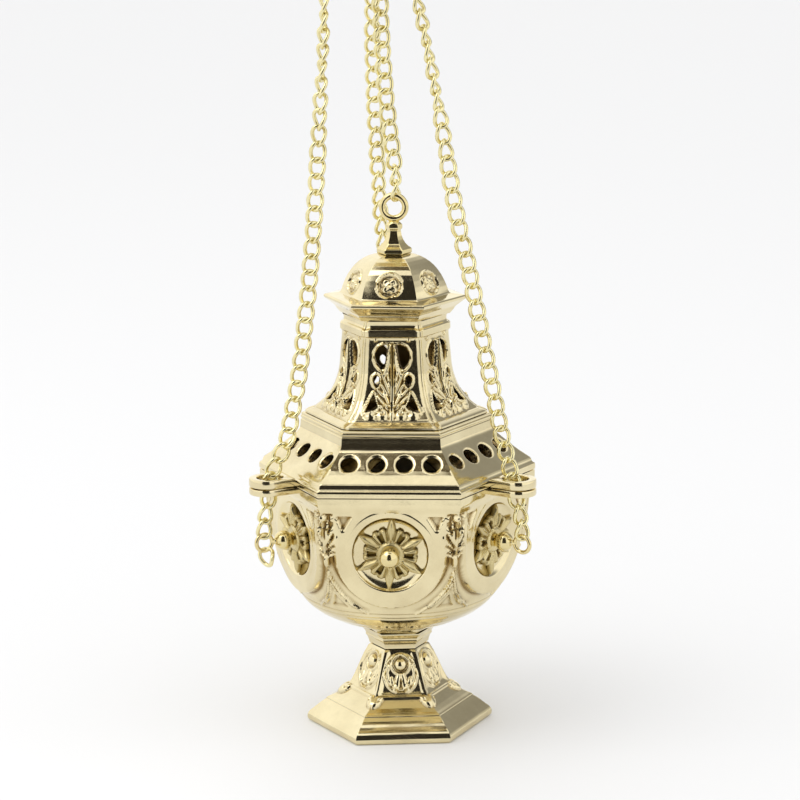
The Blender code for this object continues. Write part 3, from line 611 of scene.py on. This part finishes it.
def tower_relief(u, v, gap, edge):
    """Recessed panels with a veined leaf up the middle, wire round the openings and scrolls below."""
    side = np.abs(u)
    corner = edge - side
    panel = smooth_step(v, 152.6, 153.8) * (1 - smooth_step(v, 186.8, 187.6))
    inside = smooth_step(corner, 1.5, 2.7) * panel
    lift = -0.9 * np.clip(1 - corner / 3.2, 0, 1) ** 2
    clear = smooth_step(gap, -0.1, 0.5)
    lift += 0.75 * ridge(gap - 0.6, 0.75) * inside
    leaves = np.zeros_like(u)
    for centre, size, turn, height in (
        ((1.7, 178.2), (1.1, 8.0), 7, 1.2), ((2.9, 173.8), (0.9, 5.4), 12, 1.1),
        ((2.9, 167.2), (0.85, 5.6), -20, 1.35), ((4.4, 165.8), (0.8, 5.0), -32, 1.2),
        ((1.9, 170.0), (0.7, 5.4), -6, 1.1), ((5.2, 163.0), (0.75, 3.8), -44, 1.05),
        ((2.4, 160.2), (0.85, 4.6), -24, 1.35), ((4.0, 158.8), (0.85, 4.6), -40, 1.3),
        ((5.4, 157.2), (0.8, 4.2), -54, 1.15),
    ):
        leaves = np.maximum(leaves, height * lobe(side, v, centre, size, turn))
    rib = smooth_step(v, 154.0, 156.0) * (1 - smooth_step(v, 184.8, 186.4))
    leaves = np.maximum(leaves, 1.45 * ridge(side - 0.55, 0.6) * rib)
    lift = lift + leaves * clear * panel - 0.5 * ridge(side, 0.3) * rib
    for centre, size, height in (
        ((7.4, 187.0), (0.9, 0.9), 0.9), ((0.0, 154.6), (1.6, 2.4), 1.8), ((4.2, 154.2), (3.0, 2.0), 1.5),
        ((9.6, 153.8), (2.9, 1.4), 1.2),
    ):
        lift += height * lobe(side, v, centre, size) * clear
    scroll = to_path(
        side, v, [(0.6, 157.4), (3.0, 158.0), (5.6, 157.2), (7.2, 155.4), (9.4, 155.0), (11.8, 155.6)]
    )
    lift += 0.9 * ridge(scroll, 0.85) * clear
    lift -= 0.9 * ridge(np.hypot((side - 4.2) / 1.3, v - 154.4), 0.9)
    for height, deep, width in ((187.9, 0.3, 0.5), (151.9, 0.35, 0.5)):
        lift -= deep * ridge(v - height, width)
    return lift


def skirt_gap(u, v):
    """Four round holes across the slope, with v counted along it from its lower edge."""
    side = np.abs(u)
    holes = [np.hypot(side - place, v - HOLE_RISE) - HOLE_RADIUS for place in HOLE_PLACES]
    return np.minimum.reduce(holes)


def skirt_relief(u, v, gap, edge):
    """A narrow bevel round each hole."""
    return -0.5 * (1 - smooth_step(gap, 0.0, 0.7)) * (v > 0)


# -------- castings

def ear(low, high):
    """A rounded tongue with a slot, reaching out along +Y from under the rim."""
    turn = np.radians(np.arange(0, 360, 4.0))
    slot = 5.5 + 0.7 * np.sin(turn) ** 2
    middle = 64.25
    round_end = 1.75 * np.sin(turn) + np.sqrt(64 - (1.75 * np.cos(turn)) ** 2)
    straight = np.minimum(
        8.0 / np.maximum(np.abs(np.cos(turn)), 1e-6), 9.0 / np.maximum(np.abs(np.sin(turn)), 1e-6)
    )
    outline = np.where(middle + round_end * np.sin(turn) > 66, round_end, straight)
    edge = 0.6
    small = edge * 0.3
    rows = (
        (slot, 0, low + edge), (slot, small, low + small), (slot, edge, low),
        (outline, -edge, low), (outline, -small, low + small), (outline, 0, low + edge),
        (outline, 0, high - edge), (outline, -small, high - small), (outline, -edge, high),
        (slot, edge, high), (slot, small, high - small), (slot, 0, high - edge),
    )
    points = [
        np.stack([(r + d) * np.cos(turn), middle + (r + d) * np.sin(turn), z + 0 * turn], -1)
        for r, d, z in rows
    ]
    faces = grid_faces(len(rows), len(turn))
    return (np.concatenate(points), faces, 0.0)


def ears(low, high):
    shells = []
    for azimuth in EAR_FACES.values():
        turn = rotation(azimuth + 180)
        shells += placed([ear(low, high)], turn)
    return shells


def bowl_shells():
    outer = [
        (3.3, 46.2, 1), (16.9, 46.2, 0), (17.9, 46.8, 0), (18.5, 47.8, 0), (18.7, 48.8, 0.3),
        (20.4, 49.3, 1), (25.0, 50.8, 1), (30.0, 52.8, 1), (34.2, 54.8, 1), (38.8, 57.4, 1),
        (42.6, 60.2, 0.95), (46.6, 64.0, 0.86), (49.8, 68.0, 0.72), (53.2, 73.8, 0.52), (56.0, 80.5, 0.3),
        (58.2, 88.0, 0.1), (59.6, 95.4, 0), (61.0, 108.0, 0), (61.5, 112.6, 0), (62.1, 114.6, 0),
        (62.9, 116.0, 0), (63.6, 117.2, 0), (63.9, 118.4, 0), (63.9, PARTING - 0.2, 0),
    ]
    inner = [
        (60.6, PARTING - 0.2, 0), (58.8, 112.0, 0), (56.3, 95.4, 0), (52.8, 80.5, 0.3), (46.4, 67.6, 0.75),
        (39.6, 61.4, 0.95), (31.6, 56.6, 1), (24.0, 52.6, 1), (17.0, 50.4, 1), (3.3, 50.4, 1),
    ]
    shells = [sweep(outer, inner, 88, 0.7, bowl_relief)]
    ring = [
        (0.02, -3.4), (19.8, -3.4), (21.6, -0.9), (21.2, -0.1), (20.6, 0.17), (19.0, 0.26), (17.6, 0.3),
        (17.3, 0.15), (17.0, -0.2), (16.6, -0.7), (15.6, -1.3), (13.6, -1.7), (5.0, -2.05), (0.02, -2.1),
    ]
    for azimuth in FACES.values():
        face = face_matrix(azimuth, MEDALLION_PLANE, MEDALLION_HEIGHT, MEDALLION_TILT)
        shells += placed([lathe(ring, 96, 1.2)], face)
    return shells + ears(PARTING - 3.4, PARTING - 0.2)


def foot_shells():
    outer = [
        (38.6, 0.0, 0), (42.2, 0.0, 0), (43.1, 0.5, 0), (43.6, 1.3, 0), (43.7, 2.4, 0), (43.4, 3.5, 0),
        (42.8, 4.5, 0), (41.9, 5.4, 0), (40.6, 6.3, 0), (39.3, 7.3, 0), (37.9, 8.5, 0), (36.4, 9.6, 0),
        (35.2, 10.3, 0), (34.6, 10.7, 0), (34.5, 11.2, 0), (33.8, 11.6, 0), (32.2, 12.2, 0),
        (29.4, 13.5, 0), (26.4, 15.6, 0), (23.6, 18.0, 0), (22.2, 19.8, 0), (20.3, 23.6, 0),
        (18.3, 28.2, 0), (16.1, 33.0, 0), (13.6, 37.4, 0),
    ]
    inner = [
        (3.3, 37.4, 1), (3.3, 29.0, 1), (13.6, 26.0, 0), (18.0, 18.6, 0), (28.0, 11.0, 0),
        (34.0, 5.2, 0), (38.6, 0.0, 0),
    ]
    turn = rotation(FOOT_TURN)
    return placed([sweep(outer, inner, 64, 0.5, foot_relief, coarse=6.0)], turn)


def collar_shells():
    outer = [
        (3.3, 37.7, 1), (13.4, 37.7, 0), (13.9, 38.1, 0), (14.0, 38.9, 0), (14.4, 40.2, 0),
        (14.9, 41.3, 0), (15.4, 41.8, 0), (15.6, 42.3, 0), (15.4, 42.8, 0), (15.6, 43.4, 0),
        (16.3, 44.4, 0), (17.1, 45.3, 0), (17.2, 45.9, 0), (3.3, 45.9, 1),
    ]
    turn = rotation(FOOT_TURN)
    return placed([sweep(outer, [(3.3, 41.0, 1)], 16, 0.6)], turn)


def skirt_shells():
    outer = [
        (59.9, 119.2), (59.9, 121.95), (63.8, 121.95), (64.1, 122.3), (64.1, 124.4), (63.8, 125.0),
        (63.0, 125.4), (62.5, 125.9), (62.4, 126.5), (62.0, 127.2), (61.8, 127.6), (59.4, 129.2),
        (56.8, 130.9), (54.2, 132.8), (52.0, 134.7), (49.9, 136.4), (47.9, 138.0), (46.3, 139.4),
        (45.4, 140.4), (44.9, 141.2), (44.6, 142.4), (44.4, 144.8), (44.3, 145.3), (43.9, 145.6),
        (43.9, 146.0), (44.2, 146.3), (44.3, 146.9), (44.1, 147.4), (43.8, 147.6), (44.0, 147.9),
        (44.0, 148.5), (43.4, 148.8), (32.0, 148.8),
    ]
    inner = [
        (56.4, 119.2), (56.4, 121.0), (56.4, 121.8), (56.4, 122.2), (56.4, 123.2), (56.4, 124.0),
        (56.4, 124.6), (56.4, 125.0), (56.4, 125.4), (56.4, 125.8), (56.2, 126.2), (55.4, 127.0),
        (52.8, 128.8), (50.2, 130.8), (48.2, 132.7), (46.2, 134.7), (44.2, 136.6), (42.6, 138.1),
        (41.6, 139.2), (41.0, 140.4), (40.8, 141.8), (40.7, 143.4), (40.7, 143.8), (40.7, 144.2),
        (40.7, 144.6), (40.6, 144.9), (40.4, 145.2), (40.0, 145.5), (39.4, 145.7), (38.6, 145.9),
        (37.6, 146.1), (36.0, 146.2), (32.0, 146.4),
    ]
    steps = np.hypot(*(np.diff(np.array(outer), axis=0) * [[COS30, 1.0]]).T)
    ruler = np.concatenate([[0.0], np.cumsum(steps)])
    ruler -= ruler[outer.index((59.4, 129.2))]
    shell = pierced(outer, inner, ruler, 84, 0.7, skirt_gap, skirt_relief)
    return [shell] + ears(PARTING + 0.2, PARTING + 4.1)


def tower_shells():
    outer = [
        (43.0, 149.1), (43.0, 149.9), (42.0, 150.5), (41.2, 150.8), (39.6, 151.3), (38.6, 151.9),
        (37.2, 152.8), (34.2, 155.4), (32.2, 157.6), (30.7, 159.9), (29.3, 162.6), (28.3, 165.3),
        (27.3, 168.4), (26.7, 171.6), (26.1, 178.6), (25.4, 185.6), (25.3, 187.2), (25.9, 187.9),
        (26.2, 188.5), (26.2, 191.2), (25.8, 191.8), (24.8, 192.4), (24.4, 193.2), (24.5, 194.4),
        (25.0, 195.4),
    ]
    inner = [
        (32.0, 149.1), (32.0, 149.9), (32.0, 150.5), (32.0, 151.0), (32.0, 151.6), (32.0, 152.4),
        (31.8, 153.6), (30.6, 156.0), (29.0, 158.2), (27.6, 160.6), (26.2, 163.4), (25.2, 165.8),
        (24.3, 168.8), (23.7, 171.8), (22.9, 178.6), (22.2, 185.6), (22.2, 187.0), (22.2, 188.0),
        (22.2, 188.8), (22.2, 190.6), (22.2, 191.4), (22.2, 192.2), (22.2, 193.2), (22.2, 194.4),
        (22.4, 195.4),
    ]
    heights = [z for _, z in outer]
    return [pierced(outer, inner, heights, 88, 0.42, tower_gap, tower_relief)]


def dome_shells():
    outer = [
        (22.6, 195.7, 0), (25.4, 195.7, 0), (26.0, 196.4, 0), (27.0, 197.6, 0), (27.6, 198.6, 0),
        (28.2, 199.2, 0), (29.8, 200.4, 0), (31.8, 201.9, 0), (32.6, 202.4, 0), (32.9, 203.0, 0),
        (32.8, 203.6, 0), (32.2, 204.1, 0), (29.0, 204.5, 0), (26.0, 204.9, 0), (25.0, 205.4, 0.1),
        (24.5, 206.4, 0.16), (23.8, 208.6, 0.18), (22.8, 210.9, 0.18), (21.5, 213.4, 0.18),
        (19.8, 215.9, 0.18), (18.1, 217.9, 0.18), (16.3, 219.5, 0.18), (14.2, 220.9, 0.18),
        (11.8, 222.1, 0.18), (8.2, 223.1, 0.2), (2.3, 223.1, 1),
    ]
    inner = [
        (2.3, 220.6, 1), (10.6, 219.8, 0), (14.6, 217.4, 0), (17.4, 214.4, 0), (20.2, 210.0, 0),
        (22.2, 204.6, 0), (22.6, 195.7, 0),
    ]
    turn = rotation(-3.0)
    return placed([sweep(outer, inner, 44, 0.5, dome_relief)], turn)


def finial_shells():
    outer = [
        (1.4, 212.6, 1), (2.0, 213.2, 1), (2.0, 223.3, 1), (7.6, 223.3, 0), (8.0, 223.6, 0),
        (8.0, 225.4, 0), (7.5, 225.9, 0), (6.3, 226.7, 0), (5.1, 227.9, 0), (4.2, 229.4, 0),
        (3.5, 231.2, 0), (3.1, 233.2, 0), (3.1, 234.0, 0), (3.6, 234.4, 0), (3.8, 235.0, 0),
        (3.8, 236.2, 0), (3.4, 236.9, 0.2), (2.6, 237.6, 1), (1.6, 238.4, 1), (0.05, 238.8, 1),
    ]
    stand = Matrix.Translation((0, 0, 244.3)) @ rotation(90, "X")
    ring = placed([torus(5.25, 1.55, 72, 24)], stand)
    return [sweep(outer, [(0.05, 212.6, 1)], 10, 0.5, coarse=50.0)] + ring


def rosette_shells(azimuth, turn):
    """A cast star of six leaves with ribs and six small slots, round a raised hub."""
    rows = 30
    columns = 216
    share = np.concatenate([[0.16], np.linspace(0.2, 1.0, rows)])[:, None]
    angle = (2 * np.pi * np.arange(columns) / columns)[None, :]
    wave = np.abs((angle * 6 / (2 * np.pi) + 0.5) % 1 - 0.5) * 2
    reach = 12.3 + 4.2 * np.clip(1 - wave / 0.3, 0, 1) ** 1.2 - 0.9 * ridge(wave - 0.4, 0.14)
    reach -= 0.7 * ridge(wave - 1.0, 0.12)
    radius = share * reach
    peak = 1.0 - smooth_step(wave, 0.0, 0.3)
    outer_part = smooth_step(radius, 5.4, 7.4)
    top = 0.35 + 0.95 * peak * outer_part * (1 - 0.6 * smooth_step(radius, 13.0, 16.4))
    top += 0.75 * ridge(wave - 0.62, 0.2) * outer_part * (1 - smooth_step(radius, 11.4, 12.4))
    for line in (0.36, 0.86):
        top -= 0.35 * ridge(wave - line, 0.08) * outer_part
    top -= 0.5 * smooth_step(share, 0.92, 1.0)
    top += 0.9 * (1 - smooth_step(radius, 4.8, 6.0))
    pit = np.maximum(np.abs(radius - 8.3) / 1.9, (1 - wave) * 4.3 / 1.0)
    top -= 2.2 * (1 - smooth_step(pit, 0.8, 1.1)) * smooth_step(radius, 5.9, 6.5)
    lift = np.concatenate([np.full_like(top[:1], -1.5), top, np.full_like(top[:1], -1.5)])
    radius = np.concatenate([radius[:1], radius, radius[-1:]])
    around = angle + 0 * radius
    points = np.stack([radius * np.sin(around), radius * np.cos(around), lift], -1).reshape(-1, 3)
    faces = grid_faces(len(radius), columns)
    # Darkened a quarter of the way all over, and further, as painted shade, in the low parts and slots, up
    # to 0.95.
    shade_depth = (0.25 + 0.5 * np.clip(0.5 - lift, 0, 1.4)).clip(0, 0.95).ravel()
    face = face_matrix(azimuth, MEDALLION_PLANE, MEDALLION_HEIGHT, MEDALLION_TILT)
    return placed([(points, faces, shade_depth)], face @ rotation(turn))


def stud_shells(azimuth, with_eye):
    profile = [(0.3, 44.0), (2.0, 44.6), (2.0, 53.6), (3.1, 53.8), (3.1, 54.4)]
    profile += ball(STUD_BALL_REACH, 4.45, 30)
    shells = [lathe(profile, 48, 0.7)]
    if with_eye:
        shells.append(lathe([(0.02, 60.0), (1.9, 61.9), (1.3, 62.8), (1.15, 64.3), (0.02, 64.5)], 24, 0.5))
        stand = Matrix.Translation((0, 0, EYE_REACH)) @ rotation(90, "Y")
        shells += placed([torus(EYE_RADIUS, EYE_WIRE, 56, 16)], stand)
    return placed(shells, face_matrix(azimuth, 0, MEDALLION_HEIGHT))


def cup_shells():
    return [lathe([
        (0.02, 57.0), (15.2, 57.0), (15.6, 50.7), (16.8, 50.7), (17.4, 55.4), (20.4, 56.4), (24.4, 57.3),
        (27.6, 58.6), (31.6, 61.4), (34.4, 66.0), (36.6, 73.0), (38.0, 80.0), (38.8, 103.0), (40.2, 104.6),
        (42.2, 105.4), (42.6, 106.0), (42.2, 106.6), (40.4, 106.6), (38.6, 105.6), (37.6, 104.0),
        (36.8, 80.4), (35.3, 73.0), (33.4, 66.8), (30.6, 62.4), (27.0, 60.0), (23.0, 58.8), (0.02, 58.4),
    ], 96, 1.5)]


# -------- top plate

def plate_matrix(x=0.0, y=0.0):
    return Matrix.Translation((PLATE_X + x, PLATE_Y + y, PLATE_UNDERSIDE))


def plate_eye_shells(azimuth):
    place = outward(azimuth) * PLATE_EYE_CIRCLE
    at = plate_matrix(place.x, place.y)
    profile = [
        (0.02, -2.7), (1.3, -2.6), (2.7, -2.4), (3.2, -1.8), (3.2, -0.6), (2.9, -0.3), (1.6, -0.3),
        (1.6, 2.7), (2.9, 2.7), (3.1, 3.0), (2.8, 3.6), (2.0, 4.0), (0.8, 4.2), (0.02, 4.25),
    ]
    turn = rotation(azimuth + 90) @ rotation(90, "X")
    hang = Matrix.Translation((0, 0, -2.0 - EYE_RADIUS)) @ turn
    return placed([lathe(profile, 40, 0.6)] + placed([torus(EYE_RADIUS, EYE_WIRE, 56, 16)], hang), at)


def handle_eye_shells():
    top = PLATE_THICKNESS
    profile = [
        (0.02, -4.7), (1.0, -4.6), (1.6, -4.2), (1.6, top + 0.3), (3.2, top + 0.3), (3.5, top + 0.6),
        (3.3, top + 1.1), (2.6, top + 1.5), (1.6, top + 1.8), (1.2, top + 2.4), (0.02, top + 2.6),
    ]
    stand = Matrix.Translation((0, 0, top + 5.6)) @ rotation(90, "Y")
    return placed([lathe(profile, 40, 0.6)] + placed([torus(3.6, 1.25, 56, 18)], stand), plate_matrix())


def plate_rim(sides):
    """A disc with rounded edges and turned lines on it, as a solid without its holes."""
    return lathe([
        (0.02, 0.0), (25.8, 0.0), (26.5, 0.2), (26.9, 0.7), (27.0, 1.2), (26.9, 1.7), (26.5, 2.2),
        (25.8, 2.4), (24.6, 2.4), (24.3, 2.15), (24.0, 2.4), (9.0, 2.4), (8.7, 2.2), (8.4, 2.4),
        (0.02, 2.4),
    ], sides, 3.0)


def make_plate(finish):
    """The plate, with its holes for the eyes, the handle's bolt and the lid's chain."""
    plate = make_piece(
        "Plate", placed([plate_rim(96)], plate_matrix()), finish, "censer", ["chain_plate"]
    )
    spots = [(5.2, -10.2, 6.4), (0, 0, 1.9)]
    for azimuth in EAR_FACES.values():
        place = outward(azimuth) * PLATE_EYE_CIRCLE
        spots.append((place.x, place.y, 1.9))
    cutters = []
    for x, y, radius in spots:
        pin = lathe([(0.02, -3), (radius, -3), (radius, 6), (0.02, 6)], 48, 20)
        cutters += placed([pin], plate_matrix(x, y))
    cutter = make_piece("plate_holes", cutters, finish, "censer")
    step = plate.modifiers.new("holes", "BOOLEAN")
    step.operation = "DIFFERENCE"
    step.solver = "EXACT"
    step.object = cutter
    bpy.context.view_layer.update()
    graph = bpy.context.evaluated_depsgraph_get()
    cut = bpy.data.meshes.new_from_object(plate.evaluated_get(graph))
    plate.modifiers.clear()
    plate.data = cut
    bpy.data.objects.remove(cutter)


# -------- chains

def smooth_route(points, step):
    """Points an even step apart on a smooth curve through the route's points."""
    places = np.array(points, float)
    ends = np.concatenate([[2 * places[0] - places[1]], places, [2 * places[-1] - places[-2]]])
    share = np.arange(24)[:, None] / 24
    fine = []
    for before, start, end, after in zip(ends, ends[1:], ends[2:], ends[3:]):
        bend = (
            2 * start + (end - before) * share + (2 * before - 5 * start + 4 * end - after) * share**2
            + (3 * start - before - 3 * end + after) * share**3
        )
        fine.append(bend / 2)
    fine = np.concatenate([*fine, places[-1:]])
    run = np.concatenate([[0], np.cumsum(np.linalg.norm(np.diff(fine, axis=0), axis=1))])
    count = max(2, round(run[-1] / step))
    marks = np.linspace(0, run[-1], count + 1)
    return np.stack([np.interp(marks, run, fine[:, i]) for i in range(3)], -1)


def link(steps=26, sides=9):
    """A curb link along local Z, twisted a quarter turn from end to end."""
    half_long = (LINK_LENGTH - LINK_WIRE) / 2
    half_wide = (CHAIN_DIAMETER - LINK_WIRE) / 2 + 0.25
    turn = 2 * np.pi * np.arange(steps) / steps
    power = 0.86
    x = half_wide * np.sign(np.sin(turn)) * np.abs(np.sin(turn)) ** power
    z = half_long * np.sign(np.cos(turn)) * np.abs(np.cos(turn)) ** power
    twist = np.radians(40) * z / half_long
    middle = np.stack([x * np.cos(twist), x * np.sin(twist), z], -1)
    along = np.roll(middle, -1, 0) - np.roll(middle, 1, 0)
    along /= np.linalg.norm(along, axis=1, keepdims=True)
    flat = np.stack([-np.sin(twist), np.cos(twist), 0 * twist], -1)
    flat -= (flat * along).sum(1, keepdims=True) * along
    flat /= np.linalg.norm(flat, axis=1, keepdims=True)
    across = np.cross(along, flat)
    around = 2 * np.pi * np.arange(sides) / sides
    wire = LINK_WIRE / 2
    points = middle[:, None] + wire * (
        np.cos(around)[None, :, None] * flat[:, None] + np.sin(around)[None, :, None] * across[:, None]
    )
    return points.reshape(-1, 3), grid_faces(steps, sides)


def link_frame(centre, along, twist):
    """A matrix that lays local Z along the chain, turned by twist degrees about it."""
    along = Vector(along).normalized()
    side = Vector((1, 0, 0)) - along * along.x
    side.normalize()
    front = along.cross(side)
    basis = Matrix((side, front, along)).transposed().to_4x4()
    return Matrix.Translation(Vector(centre)) @ basis @ rotation(twist)


def chain_shells(route, turns):
    """Links from pin to pin along a route. Turns gives the twist in degrees at some heights."""
    line = smooth_route(route, 0.4)
    run = np.concatenate([[0], np.cumsum(np.linalg.norm(np.diff(line, axis=0), axis=1))])
    pins = LINK_PITCH - LINK_WIRE
    count = round((run[-1] - pins) / LINK_PITCH) + 1
    pitch = (run[-1] - pins) / (count - 1)
    points, faces = link()
    heights, twists = zip(*turns)
    shells = []
    for index in range(count):
        middle = pins / 2 + index * pitch
        ends = [np.array([np.interp(middle + d, run, line[:, i]) for i in range(3)]) for d in (-2.5, 2.5)]
        centre = (ends[0] + ends[1]) / 2
        twist = np.interp(centre[2], heights, twists) + 14 * math.sin(index * 1.9)
        shells += placed([(points, faces, 0.0)], link_frame(centre, ends[1] - ends[0], twist))
    return shells


def row_frame(points):
    """Points in millimetres about the axis, as metres in the row frame."""
    return [list(np.array(point) * MM + np.array(AXIS)) for point in points]


def make_chain(name, node, finish, body, turns):
    route = CHAIN_ROUTES[node]
    shells = chain_shells(route, turns)
    chain = make_piece(name, shells, finish, body, [node], sharp=180)
    path = row_frame(smooth_route(route, 3.0))


def spare_link():
    """An open link that hangs through the left eye stud's ring."""
    points, faces = link()
    eye = outward(EAR_FACES["left"]) * EYE_REACH
    way = Vector((0.45, -0.66, -0.60)).normalized()
    centre = Vector((eye.x, eye.y, MEDALLION_HEIGHT - EYE_RADIUS)) + way * 3.4
    hang = link_frame(centre, way, 30)
    return placed([(points, faces, 0.0)], hang)


# -------- floor and light

def stage_piece(name, corners, finish):
    mesh = bpy.data.meshes.new(name)
    mesh.from_pydata(corners, [], [tuple(range(len(corners)))])
    mesh.materials.append(finish)
    piece = put(name, mesh)
    return piece


def plain(name, colour, roughness):
    made = bpy.data.materials.new(name)
    made.use_nodes = True
    shader = made.node_tree.nodes["Principled BSDF"]
    set_inputs(shader, Base_Color=(*colour, 1.0), Roughness=roughness, Specular_IOR_Level=0.1)
    return made


def make_stage():
    pale = plain("floor_pale", (0.80, 0.80, 0.803), 0.7)
    stage_piece("floor", [(-9, -9, 0), (9, -9, 0), (9, 9, 0), (-9, 9, 0)], pale)
    dark = plain("card_dark", (0.02, 0.017, 0.014), 0.9)
    brown = plain("card_brown", (0.12, 0.095, 0.06), 0.9)
    low = [(-0.6, -1.7, 0.001), (0.75, -1.7, 0.001), (0.34, -0.62, 0.001), (-0.2, -0.62, 0.001)]
    tall = [(-0.72, -1.7, 0.0), (0.75, -1.7, 0.0), (0.75, -1.7, 2.9), (-0.72, -1.7, 2.9)]
    top = [(-0.8, -0.72, 2.2), (0.8, -0.72, 2.2), (0.8, -0.22, 2.2), (-0.8, -0.22, 2.2)]
    for name, corners, finish in (
        ("card_low", low, dark), ("card_tall", tall, dark), ("card_top", top, brown),
    ):
        card = stage_piece(name, corners, finish)
        card.visible_camera = False
        card.visible_diffuse = False
        card.visible_shadow = False


def make_light():
    world = bpy.data.worlds.new("studio")
    world.use_nodes = True
    nodes, links = world.node_tree.nodes, world.node_tree.links
    background = set_inputs(nodes["Background"], Color=(1.0, 1.0, 1.0, 1.0))
    way = nodes.new("ShaderNodeTexCoord")
    dim_side = nodes.new("ShaderNodeVectorMath")
    dim_side.operation = "DOT_PRODUCT"
    dim_side.inputs[1].default_value = (0.62, 0.62, 0.48)
    links.new(way.outputs["Generated"], dim_side.inputs[0])
    fall = nodes.new("ShaderNodeMapRange")
    fall.interpolation_type = "SMOOTHSTEP"
    set_inputs(fall, From_Min=0.82, From_Max=0.99, To_Min=1.2, To_Max=0.36)
    links.new(dim_side.outputs["Value"], fall.inputs["Value"])
    path = nodes.new("ShaderNodeLightPath")
    strength = nodes.new("ShaderNodeMix")
    strength.data_type = "FLOAT"
    set_inputs(strength, B=1.0)
    links.new(path.outputs["Is Camera Ray"], strength.inputs["Factor"])
    links.new(fall.outputs["Result"], strength.inputs["A"])
    links.new(strength.outputs["Result"], background.inputs["Strength"])
    bpy.context.scene.world = world
    data = bpy.data.lights.new("softbox", "AREA")
    data.shape = "RECTANGLE"
    data.size = 1.2
    data.size_y = 1.2
    data.energy = 7.0
    lamp = put("softbox", data)
    lamp.location = (-0.9, -0.5, 1.7)
    lamp.rotation_mode = "QUATERNION"
    lamp.rotation_quaternion = (Vector((0, 0, 0.15)) - lamp.location).to_track_quat("-Z", "Y")
    bpy.context.scene.view_settings.view_transform = "Standard"


# -------- the censer

def keep_cad(finish, *nodes):
    for name in nodes:
        node = frame["nodes"][name]
        node.data.materials.clear()
        node.data.materials.append(finish)


def dress(name, shells, finish, body, sharp=38):
    """A piece that stands for the node with its own name in lower case."""
    make_piece(name, shells, finish, body, [name.lower()], sharp)


def box_middle(node):
    """The middle of a node's box, in millimetres about the axis."""
    low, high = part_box(node)
    return ((low + high) / 2 - AXIS) / MM


def build():
    make_camera()
    cast = metal("Cast_Brass", (0.83, 0.73, 0.46), (0.27, 0.17, 0.05), 0.06, 0.07, 900.0, 0.6)
    turned = metal("Turned_Brass", (0.82, 0.70, 0.37), (0.30, 0.19, 0.05), 0.08, 0.06, 1400.0, 0.2)
    star = metal("Rosette_Brass", (0.80, 0.69, 0.38), (0.27, 0.19, 0.05), 0.13, 0.10, 900.0, 0.3)
    chain = metal("Chain_Brass", (0.88, 0.80, 0.46), (0.50, 0.38, 0.12), 0.13, 0.08, 1200.0, 0.1)
    steel = metal("Cup_Steel", (0.42, 0.40, 0.38), (0.16, 0.14, 0.12), 0.34, 0.12, 700.0, 0.08)

    for side, azimuth in EAR_FACES.items():
        dress("Plate_Eye_" + side, plate_eye_shells(azimuth), turned, "censer")
        dress("Eye_Stud_" + side, stud_shells(azimuth, True), turned, "censer")
    make_plate(cast)
    dress("Handle_Eye", handle_eye_shells(), turned, "censer")
    stand = Matrix.Translation(box_middle("handle_ring")) @ rotation(90, "X")
    ring = placed([torus(13.0, 1.6, 96, 20)], stand)
    dress("Handle_Ring", ring, turned, "handle_ring")
    ring = placed([torus(9.0, 1.3, 80, 18)], Matrix.Translation(box_middle("pull_ring")))
    dress("Pull_Ring", ring, turned, "pull_ring")

    make_chain(
        "Chain_left", "chain_left", chain, "censer",
        [(99, 40), (120, 25), (150, 5), (270, -5), (300, -60), (346, -75)],
    )
    make_chain(
        "Chain_right", "chain_right", chain, "censer",
        [(99, 50), (122, 5), (240, -5), (275, 30), (300, 75), (346, 70)],
    )
    make_chain(
        "Chain_back", "chain_back", chain, "censer", [(99, 90), (200, 60), (250, 35), (346, -25)],
    )
    make_chain(
        "Lid_Chain", "lid_chain", chain, "lid", [(250, 85), (270, 25), (300, -10), (360, 30)]
    )
    make_piece("Spare_Link", spare_link(), chain, "censer", (), sharp=180)

    dress("Bowl", bowl_shells(), cast, "censer")
    dress("Foot", foot_shells(), cast, "censer")
    dress("Stem_Collar", collar_shells(), cast, "censer")
    dress("Lid_Skirt", skirt_shells(), cast, "lid")
    dress("Lid_Tower", tower_shells(), cast, "lid")
    dress("Lid_Dome", dome_shells(), cast, "lid")
    dress("Finial", finial_shells(), turned, "lid", sharp=50)
    dress("Charcoal_Cup", cup_shells(), steel, "charcoal_cup")
    turns = {"front": -3, "front_right": -4, "back_right": 3, "back": -6, "back_left": 5, "front_left": 2}
    for side, azimuth in FACES.items():
        dress("Rosette_" + side, rosette_shells(azimuth, turns[side]), star, "censer")
    for side, azimuth in PLAIN_FACES.items():
        dress("Ball_Stud_" + side, stud_shells(azimuth, False), turned, "censer")
    keep_cad(turned, "fixing_bolt", "fixing_washer", "fixing_nut", "finial_nut", "handle_nut")
    keep_cad(turned, *["stud_nut_" + side for side in FACES])


build()
make_stage()
make_light()
